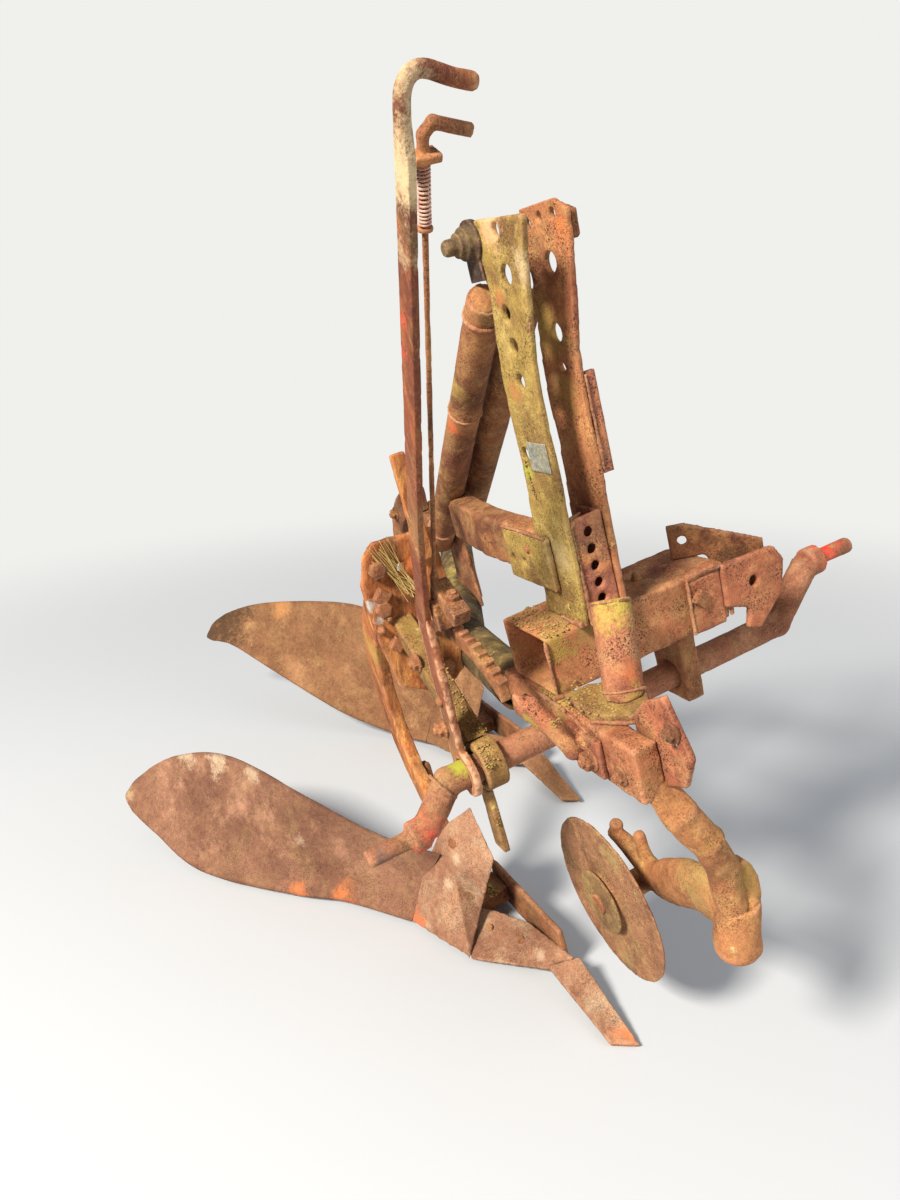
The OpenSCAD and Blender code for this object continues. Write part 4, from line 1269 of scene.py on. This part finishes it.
@dataclass(frozen=True)
class Bolt:
    """One fastener: the node that it sits on, its place, the way it faces, its width, height and washer's radius."""

    node: str
    at: Triple
    way: Triple
    head: Head = Head.HEX
    wide: float = 19.0
    high: float = 11.0
    washer: float = 0.0

    def draw(self, shell: Shell) -> None:
        """Adds the head, its washer and, on a hexagon nut, the thread's end."""
        start = self.at - unit(self.way) * BOLT_SUNK
        if self.washer:
            shell.lathe(start, self.way, ((0, self.washer), (5, self.washer)))
        half = self.wide / 2 / math.cos(math.pi / self.head.value)
        if self.head is Head.DOME:
            dome = tuple((BOLT_SUNK + along, radius) for along, radius in dome_profile(half, self.high, 6))
            shell.lathe(start, self.way, ((0, half),) + dome)
            return
        shell.lathe(start, self.way, ((0, half), (BOLT_SUNK + self.high * 0.8, half),
                                      (BOLT_SUNK + self.high, half * 0.86)), self.head.value)
        if self.head is Head.HEX:
            shell.lathe(start, self.way, ((0, half * 0.5), (self.high + 6, half * 0.46)), 14)


BOLTS: tuple[Bolt, ...] = (
    Bolt("leg_plate", (-108, 322, 768), (0, -1, 0), Head.SQUARE, 24, 13),
    Bolt("leg_plate", (-106, 322, 682), (0, -1, 0), Head.SQUARE, 22, 12),
    Bolt("leg_plate", (-124, 322, 714), (0, -1, 0), Head.HEX, 13, 8),
    Bolt("leg_plate", (-108, 322, 730), (0, -1, 0), Head.HEX, 14, 9),
    Bolt("front_shin", (-96, 402, 227), (-0.82, -0.46, 0.35), Head.DOME, 21, 2),
    Bolt("front_shin", (-100, 373, 124), (-0.84, -0.55, -0.03), Head.DOME, 21, 2),
    Bolt("front_share", (-58, 280, 54), (-0.67, -0.34, 0.66), Head.DOME, 18, 3),
    Bolt("front_share", (-92, 340, 62), (-0.67, -0.34, 0.66), Head.DOME, 18, 3),
    Bolt("front_beam", (-16, -98, 600), (-1, 0, 0), Head.HEX, 24, 14, 17),
    Bolt("front_beam", (-6, -150, 594), (-1, 0, 0), Head.HEX, 19, 9, 14),
    Bolt("front_beam", (-6, -64, 586), (-1, 0, 0), Head.HEX, 19, 10),
    Bolt("beam_lug", (32, -223, 668), (-1, 0, 0), Head.HEX, 19, 10, 14),
    Bolt("lever", (-125, 137, 604), (-1, 0, 0), Head.HEX, 22, 12, 16),
    Bolt("lever", (-125, 118, 655), (-1, 0, 0), Head.DOME, 16, 6),
    Bolt("latch", (-91, 38, 828), (0, -0.54, 0.84), Head.HEX, 17, 9),
    Bolt("cross_lap", (255, -8, 700), (0, -1, 0), Head.SQUARE, 22, 9),
    Bolt("cross_beam", (200, 60, 735), (0, 0, 1), Head.DOME, 15, 14),
    Bolt("strut_bolt", (62, 545, 760), (-1, 0, 0), Head.HEX, 34, 16, 25),
    Bolt("strut_bolt", (46, 545, 760), (-1, 0, 0), Head.DOME, 18, 12),
    Bolt("headstock_foot", (74, -18, 880), (0, -1, 0), Head.DOME, 10, 4),
    Bolt("shaft_carrier", (-102, 250, 668), (-1, 0, 0), Head.HEX, 22, 12, 16),
    Bolt("quadrant_arm", (-24, 40, 640), (-1, 0, 0), Head.HEX, 19, 10),
    Bolt("bent_brace", (60, 80, 836), (-1, 0, 0), Head.HEX, 19, 10),
    Bolt("rear_leg_head", (199, 1096, 690), (-1, 0, 0), Head.HEX, 24, 13, 17),
)


def by_node(items: tuple[Bolt | Bead, ...]) -> Iterator[tuple[int, str, list[Bolt | Bead]]]:
    """The number of each node in order of first use, its name and the items that sit on it."""
    for number, node in enumerate(dict.fromkeys(item.node for item in items)):
        yield number, node, [item for item in items if item.node == node]


@dataclass
class Fasteners:
    """Bolt heads and nuts, one piece for all that sit on a node."""

    yard: Yard
    bolts: tuple[Bolt, ...]

    def build(self) -> None:
        """Builds the fasteners node by node."""
        for number, node, bolts in by_node(self.bolts):
            shell = Shell()
            for bolt in bolts:
                bolt.draw(shell)
            self.yard.fitting(node + "_bolts", shell, node, RUST, replace(TINY, cell=0.0014, seed=930 + 7 * number))


WELD_SHARE = 0.8
WELD_STEP = 2.0
WELD_RIPPLE = 6.0
WELD_SWELL = 0.016


@dataclass(frozen=True)
class Bead:
    """One run of weld: the node that it sits on, the places that it passes and its half width."""

    node: str
    path: tuple[Triple, ...]
    half: float = 4.5

    def draw(self, shell: Shell, seed: int) -> None:
        """Adds the run, rippled along its length by a sine and swollen by noise."""
        path = through(self.path, WELD_STEP)
        length = np.arange(len(path)) * WELD_STEP
        draw = np.random.default_rng(seed)
        swell = 1 + 0.1 * np.sin(length * 2 * np.pi / WELD_RIPPLE) + 0.4 * lattice_noise(path * MM, WELD_SWELL, seed)
        shell.sweep(path + draw.normal(0, 0.35, path.shape), self.half * WELD_SHARE * swell, 10)


def ring(centre: Triple, axis: Triple, radius: float, start: float = 0.0, turn: float = 360.0) -> tuple[Triple, ...]:
    """Places on an arc about an axis, in degrees from its first square direction."""
    side, up = square_to(unit(axis))
    angle = np.radians(np.linspace(start, start + turn, 19))
    at = np.array(centre) + radius * (np.cos(angle)[:, None] * side + np.sin(angle)[:, None] * up)
    return tuple(map(tuple, at.tolist()))


BRACE_WAY = (30, 39.5, 113)
STRUT_WAY = (35, 485, -416)
BEADS: tuple[Bead, ...] = (
    Bead("front_brace", ring((61, -83, 662), BRACE_WAY, 27.5), 3.4),
    Bead("front_brace", ring((89, -46, 768), BRACE_WAY, 26.0), 3.0),
    Bead("strut_front", ring((68, 84, 1155), STRUT_WAY, 25.5), 4.0),
    Bead("strut_front", ring((79, 240, 1021), STRUT_WAY, 25.0), 3.2),
    Bead("strut_front", ring((99, 520, 781), STRUT_WAY, 25.5), 4.0),
    Bead("headstock_foot", ((71, -19, 738), (71, -19, 800), (71, -19, 884)), 4.0),
    Bead("headstock_foot", ((68, -20, 737), (96, -21, 737), (124, -20, 737)), 5.0),
    Bead("headstock_right", ((59, -14, 738), (59, 10, 737), (59, 40, 738)), 5.0),
    Bead("headstock_foot", ((72, -16, 886), (84, -10, 886), (96, -6, 886)), 4.0),
    Bead("weld_strip", ((132, -27, 936), (132, -27, 990), (132, -27, 1060)), 3.6),
    Bead("cross_beam", ((-5, -2, 646), (14, -3, 646), (31, -2, 646)), 5.5),
    Bead("cross_beam", ((4, -1, 648), (4, -1, 690), (4, -1, 733)), 3.6),
    Bead("cross_beam", ((311, -2, 650), (311, -2, 690), (311, -2, 731)), 4.6),
    Bead("cross_lap", ((238, -8, 647), (238, -8, 690), (238, -8, 733)), 3.4),
    Bead("cross_lap", ((238, -8, 733), (266, -8, 735), (296, -8, 733)), 3.4),
    Bead("quadrant_arm", ((-7, 60, 648), (-7, 0, 646), (-7, -60, 640), (-7, -90, 626)), 4.6),
    Bead("brace_foot", ((-2, -94, 648), (32, -138, 648), (62, -134, 648), (82, -98, 648)), 4.6),
    Bead("holed_plate", ((51, 26, 859), (51, 80, 860), (51, 150, 859)), 3.4),
    Bead("bent_brace", ((60, 61, 860), (78, 60, 860), (100, 60, 859)), 4.4),
    Bead("shaft_eye", ring((-86, 108, 535), (1, 0, 0), 36.0), 4.0),
    Bead("cross_shaft", ring((-160, 108, 531), (1, 0, 0.6), 24.0), 4.0),
    Bead("red_strip", ((-6, 322, 806), (-6, 322, 880), (-6, 322, 970)), 3.4),
)


@dataclass
class Welds:
    """Weld runs, one piece for all that sit on a node."""

    yard: Yard
    beads: tuple[Bead, ...]

    def build(self) -> None:
        """Builds the runs node by node."""
        for number, node, beads in by_node(self.beads):
            shell = Shell()
            for bead in beads:
                bead.draw(shell, 970 + number)
            self.yard.fitting(node + "_weld", shell, node, WELD, replace(TINY, cell=0.0018, seed=1000 + 7 * number))


@dataclass
class DiscHub:
    """The mossy hub plate on the coulter disc, stood off it so that a dark gap shows, with its rivet."""

    yard: Yard
    at: Triple = (34.0, 82.0, 222.0)
    radius: float = 55.0
    rivet_out: float = 6.0

    def build(self) -> None:
        """Turns the dished plate and its rivet."""
        r = self.radius
        plate = ((0, r - 3), (1.5, r), (4, r), (6, r - 4), (7, r * 0.6), (7.5, r * 0.3), (7.5, 1))
        shell = Shell().lathe(self.at, (-1, 0, 0), plate, 48)
        self.yard.fitting("hub_plate", shell, "coulter_disc", HUB, replace(SMALL, seed=921))
        rivet = Shell().lathe(self.at - np.array([self.rivet_out, 0, 0]), (-1, 0, 0), ((0, 8), (2.6, 8), (3.6, 6)), 18)
        self.yard.fitting("hub_rivet", rivet, "disc_axle", RUST, replace(TINY, seed=922))


@dataclass
class CoulterArm:
    """The coulter's bent stem, the barrel that turns on it and the thick forked arm behind the disc.

    The photograph shows the barrel shorter, rounder and further to the plough's right than its plain solid. Each
    pair of numbers named top, foot or front is the stretch over which a change of the skin sets in or fades.
    """

    yard: Yard
    axis: tuple[float, float] = (98.0, -196.0)
    grasp: float = 36.0
    joint_z: float = 345.0
    squash: float = 0.495
    barrel_shift: float = -12.0
    barrel_widen: float = 0.1
    barrel_top: tuple[float, float] = (310.0, 364.0)
    barrel_at: Triple = (86.0, -196.0, 297.0)
    barrel_radius: float = 32.0
    dome: float = 20.0
    stem_marks: tuple[tuple[float, float, float], ...] = ((260, 98, -196), (430, 98, -196), (486, 76, -204),
                                                          (536, 40, -196), (590, 12, -160))
    stem_shift: float = -14.0
    stem_widen: float = 0.2
    stem_foot: tuple[float, float] = (345.0, 400.0)
    stem_top: tuple[float, float] = (480.0, 560.0)
    seat_front: tuple[float, float] = (-200.0, -178.0)
    seat_foot: tuple[float, float] = (505.0, 530.0)
    seat_middle: float = 13.0
    seat_narrow: float = 0.25
    seat_lift: float = 40.0
    arm: tuple[Triple, ...] = ((100, -182, 338), (102, -103, 328), (102, -50, 302), (102, 2, 276), (102, 44, 286),
                               (102, 82, 297), (102, 118, 303))
    arm_halves: tuple[tuple[float, float], ...] = ((26, 38), (24, 42), (23, 39), (21, 38), (19, 28), (16, 19), (12, 14))
    pegs: tuple[tuple[Triple, Triple, float], ...] = (((102, 32, 300), (102, 41, 346), 10.0),
                                                      ((102, 116, 300), (102, 104, 331), 11.5))
    lug: tuple[tuple[float, float], ...] = ((96, 348), (102, 424), (108, 432), (118, 430), (127, 418), (133, 398),
                                            (135, 372), (130, 346), (118, 334))
    boss: Triple = (110.0, -206.0, 360.0)

    def near(self, at: Array) -> Array:
        """Which places lie about the barrel's axis."""
        return np.linalg.norm(at[:, :2] - np.array(self.axis), axis=1) < self.grasp

    def shortened(self, at: Array) -> Array:
        """Draws up all that lies below the joint near the barrel's axis."""
        low = self.near(at) & (at[:, 2] < self.joint_z)
        at[low, 2] = self.joint_z - (self.joint_z - at[low, 2]) * self.squash
        return at

    def barrel(self, at: Array) -> Array:
        """Shortens the barrel, fills it out and moves it to the right."""
        at = self.shortened(at)
        share = self.near(at) * (1 - rise(at[:, 2], *self.barrel_top))
        change = (at[:, :2] - np.array(self.axis)) * self.barrel_widen + np.array([self.barrel_shift, 0.0])
        at[:, :2] += change * share[:, None]
        return at

    def stem(self, at: Array) -> Array:
        """Thickens the stem, moves its lower part to the right and hides its seat inside the beam."""
        at = self.shortened(at)
        marks = np.array(self.stem_marks)
        centre = np.stack([np.interp(at[:, 2], marks[:, 0], marks[:, k]) for k in (1, 2)], 1)
        apart = at[:, :2] - centre
        seat = rise(at[:, 1], *self.seat_front) * rise(at[:, 2], *self.seat_foot)
        share = 1 - rise(at[:, 2], *self.stem_top)
        at[:, :2] += apart * (self.stem_widen * (1 - seat))[:, None]
        at[:, 0] += (self.seat_middle - at[:, 0]) * self.seat_narrow * seat
        at[:, 2] += self.seat_lift * seat
        at[:, 0] += self.stem_shift * share * (0.6 + 0.4 * rise(at[:, 2], *self.stem_foot))
        return at

    def build(self) -> None:
        """Builds the stem and the barrel, then the arm, its pegs, the dome and the cap lug as one rough skin."""
        self.yard.weathered("coulter_stem", CASTING, replace(ROUND, seed=2400), self.stem)
        self.yard.weathered("coulter_casting", CASTING, replace(ROUND, seed=2450), self.barrel)
        shell = Shell().lathe(self.barrel_at, (0, 0, -1), dome_profile(self.barrel_radius, self.dome, 9), 40)
        path = through(self.arm, 6.0)
        shares, marks = np.linspace(0, 1, len(path)), np.linspace(0, 1, len(self.arm))
        halves = np.stack([np.interp(shares, marks, half) for half in zip(*self.arm_halves)], 1)
        shell.sweep(path, halves, 28)
        for foot, top, radius in self.pegs:
            way = np.subtract(top, foot)
            long = float(np.linalg.norm(way))
            shell.lathe(foot, way, ((0, radius * 1.25), (long * 0.4, radius), (long - 8, radius * 1.05),
                                    (long - 2, radius * 0.85), (long, radius * 0.4)), 18)
        shell.slab((-5, -208, 0), (1, 0, 0), (0, 0, 1), self.lug, -21.0)
        shell.lathe(self.boss, (0, -1, 0), ((0, 14), (5, 13), (7, 10), (10, 9), (11, 6)), 20)
        self.yard.fitting("coulter_arm", shell, "coulter_casting", CASTING, replace(FINE, cell=0.003, seed=925))


@dataclass
class Growth:
    """Clumps of moss where dirt gathers, and dry straw caught behind the leg plate."""

    yard: Yard
    seed: int = 5
    beds: tuple[tuple[str, Triple, Triple, Triple, int], ...] = (
        ("brace_foot", (30, -60, 659), (34, 30, 0), (-20, 40, 0), 138),
        ("front_beam", (10, 0, 645), (12, 0, 0), (0, 60, 0), 120),
        ("cross_beam", (30, 60, 735), (24, 0, 0), (0, 60, 0), 132),
        ("cross_beam", (100, 100, 735), (60, 0, 0), (0, 24, 0), 90),
        ("shaft_carrier", (-78, 180, 622), (12, 0, 0), (0, 60, 44), 108),
        ("shaft_eye", (-88, 80, 562), (12, 0, 0), (0, 14, 12), 60),
        ("headstock_right", (60, 41, 940), (2, 0, 0), (0, 4, 26), 42),
        ("quadrant_arm", (-46, -50, 664), (10, 0, 0), (0, 40, 4), 60),
        ("front_frog", (-45, 418, 78), (10, 0, 0), (0, 24, 0), 54),
        ("hanging_bar", (-98, 96, 470), (4, 0, 0), (0, 6, 30), 24),
    )
    clump_sizes: tuple[float, float] = (0.9, 2.9)
    clump_sides: int = 7
    clump_flat: float = 0.55
    straws: int = 18
    straw_from: Triple = (-92.0, 315.0, 846.0)
    straw_to: Triple = (-58.0, 307.0, 758.0)

    def clump(self, shell: Shell, at: Array, size: float, draw: np.random.Generator) -> None:
        """A flattened lump: a dome of noisy rings."""
        c, s = around(self.clump_sides)
        rings = []
        for level in np.linspace(-0.5, 1.2, 5):
            radius = size * math.cos(level) * draw.uniform(0.75, 1.2, self.clump_sides)
            height = np.full(self.clump_sides, self.clump_flat * size * math.sin(level))
            rings.append(at + np.stack([radius * c, radius * s, height], 1))
        shell.tube(np.array(rings))

    def build(self) -> None:
        """Scatters the clumps over their beds and lays the straws."""
        draw = np.random.default_rng(self.seed)
        for index, (node, middle, wide, deep, count) in enumerate(self.beds):
            shell = Shell()
            for _ in range(count):
                a, b = draw.uniform(-1, 1, 2)
                at = np.array(middle) + a * np.array(wide) + b * np.array(deep)
                self.clump(shell, at, draw.uniform(*self.clump_sizes), draw)
            mesh = smooth(shell.mesh(f"moss_{index}"))
            self.yard.add(f"moss_{index}", mesh, self.yard.body_of(node), MOSS_CLUMP)
        straw = Shell()
        for _ in range(self.straws):
            start, end = (np.array(at) + draw.normal(0, (9, 1.5, 9), 3) for at in (self.straw_from, self.straw_to))
            middle = (start + end) / 2 + draw.normal(0, (4, 2, 4), 3)
            straw.sweep(through(np.array([start, middle, end]), 4.0), draw.uniform(0.5, 1.0), 6)
        self.yard.add("caught_straw", straw.mesh("caught_straw"), self.yard.body_of("leg_plate"), STRAW)


# Stage, lights and camera


@dataclass(frozen=True)
class Lamp:
    """A square lamp: its place, the length of its side, its watts and its tint."""

    name: str
    at: Triple
    size: float
    power: float
    tint: Triple


@dataclass
class Studio:
    """A plain pale floor, soft lamps and the camera."""

    lamps: tuple[Lamp, ...] = (Lamp("key", (-5.2, -2.6, 5.0), 1.3, 1080.0, (1.0, 0.94, 0.84)),
                               Lamp("fill", (2.6, -3.4, 2.6), 3.0, 60.0, (1.0, 0.97, 0.93)))
    aim: Triple = (0.0, 0.0, 0.5)
    camera_at: Triple = (-0.6353, -1.7023, 1.1655)
    heading: float = math.radians(23.92)
    down: float = math.radians(18.26)
    roll: float = math.radians(-2.6)
    focal: float = 27.0
    floor_half: float = 14.0
    floor_tone: Colour = tone(188, 191, 195)
    backdrop: Colour = tone(240, 240, 237)
    fade: tuple[float, float] = (1.3, 3.6)
    sky: float = 0.5

    def floor(self) -> None:
        """A wide pale floor that shows the shadow and fades into the backdrop away from the plough."""
        h = self.floor_half
        mesh = bpy.data.meshes.new("floor")
        mesh.from_pydata([(-h, -h, 0), (h, -h, 0), (h, h, 0), (-h, h, 0)], [], [(0, 1, 2, 3)])
        made = bpy.data.materials.new("pale_floor")
        made.use_nodes = True
        net = Net(made.node_tree)
        shader = made.node_tree.nodes["Principled BSDF"]
        shader.inputs["Base Color"].default_value = self.floor_tone
        shader.inputs["Roughness"].default_value = 0.9
        shader.inputs["Specular IOR Level"].default_value = 0.1
        bright = net.add("ShaderNodeEmission")
        bright.inputs["Color"].default_value = self.backdrop
        away = net.add("ShaderNodeVectorMath", operation="LENGTH")
        net.feed(net.add("ShaderNodeTexCoord").outputs["Object"], away.inputs[0])
        share = net.times(net.step(away.outputs["Value"], *self.fade),
                         net.add("ShaderNodeLightPath").outputs["Is Camera Ray"])
        mixed = net.add("ShaderNodeMixShader")
        net.feed(share, mixed.inputs[0])
        net.feed(shader.outputs["BSDF"], mixed.inputs[1])
        net.feed(bright.outputs["Emission"], mixed.inputs[2])
        net.feed(mixed.outputs["Shader"], made.node_tree.nodes["Material Output"].inputs["Surface"])
        mesh.materials.append(made)
        stand("floor", mesh)

    def lights(self) -> None:
        """Square lamps that face the middle of the plough."""
        for lamp in self.lamps:
            data = bpy.data.lights.new(lamp.name, "AREA")
            data.shape = "SQUARE"
            data.size = lamp.size
            data.energy = lamp.power
            data.color = lamp.tint
            made = stand(lamp.name, data)
            made.location = lamp.at
            aim = Vector(self.aim) - Vector(lamp.at)
            made.rotation_euler = aim.to_track_quat("-Z", "Y").to_euler()

    def world(self) -> None:
        """An even pale sky that fills the shadows, and the plain backdrop that the camera sees."""
        world = bpy.data.worlds.new("studio")
        world.use_nodes = True
        net = Net(world.node_tree)
        sky = world.node_tree.nodes["Background"]
        sky.inputs["Color"].default_value = tone(236, 240, 246)
        sky.inputs["Strength"].default_value = self.sky
        seen = net.add("ShaderNodeBackground")
        seen.inputs["Color"].default_value = self.backdrop
        mixed = net.add("ShaderNodeMixShader")
        net.feed(net.add("ShaderNodeLightPath").outputs["Is Camera Ray"], mixed.inputs[0])
        net.feed(sky.outputs["Background"], mixed.inputs[1])
        net.feed(seen.outputs["Background"], mixed.inputs[2])
        net.feed(mixed.outputs["Shader"], world.node_tree.nodes["World Output"].inputs["Surface"])
        bpy.context.scene.world = world

    def camera(self) -> None:
        """The photograph's view: a heading, a downward tilt and a small roll."""
        data = bpy.data.cameras.new("camera")
        data.lens = self.focal
        data.sensor_width = 36.0
        data.clip_start = 0.02
        camera = stand("camera", data)
        ahead = Vector((math.sin(self.heading) * math.cos(self.down), math.cos(self.heading) * math.cos(self.down),
                        -math.sin(self.down)))
        right = Vector((math.cos(self.heading), -math.sin(self.heading), 0.0))
        up = right.cross(ahead)
        turned_right = math.cos(self.roll) * right + math.sin(self.roll) * up
        turned_up = -math.sin(self.roll) * right + math.cos(self.roll) * up
        turn = Matrix((turned_right, turned_up, -ahead)).transposed()
        camera.matrix_world = Matrix.Translation(self.camera_at) @ turn.to_4x4()
        bpy.context.scene.camera = camera

    def build(self) -> None:
        """Sets the stage."""
        bpy.context.scene.view_settings.view_transform = "Standard"
        self.floor()
        self.world()
        self.lights()
        self.camera()


def main() -> None:
    """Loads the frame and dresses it."""
    logging.basicConfig(level=logging.INFO, format="%(name)s %(message)s")
    for thing in list(bpy.data.objects):
        bpy.data.objects.remove(thing)
    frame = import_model()
    yard = Yard(frame)
    Steelwork(yard, STEEL).build()
    Mouldboard(yard, "front_board", SOIL_PLATE, FRONT_STATIONS).build(71)
    Mouldboard(yard, "rear_board", REAR_PLATE, REAR_STATIONS, (316.0, 680.0, -26.0), lip=1.5).build(83)
    HandLever(yard).build()
    LinkKnob(yard).build()
    DiscHub(yard).build()
    CoulterArm(yard).build()
    Fasteners(yard, BOLTS).build()
    Welds(yard, BEADS).build()
    Growth(yard).build()
    Studio().build()


if __name__ == "__main__":
    main()
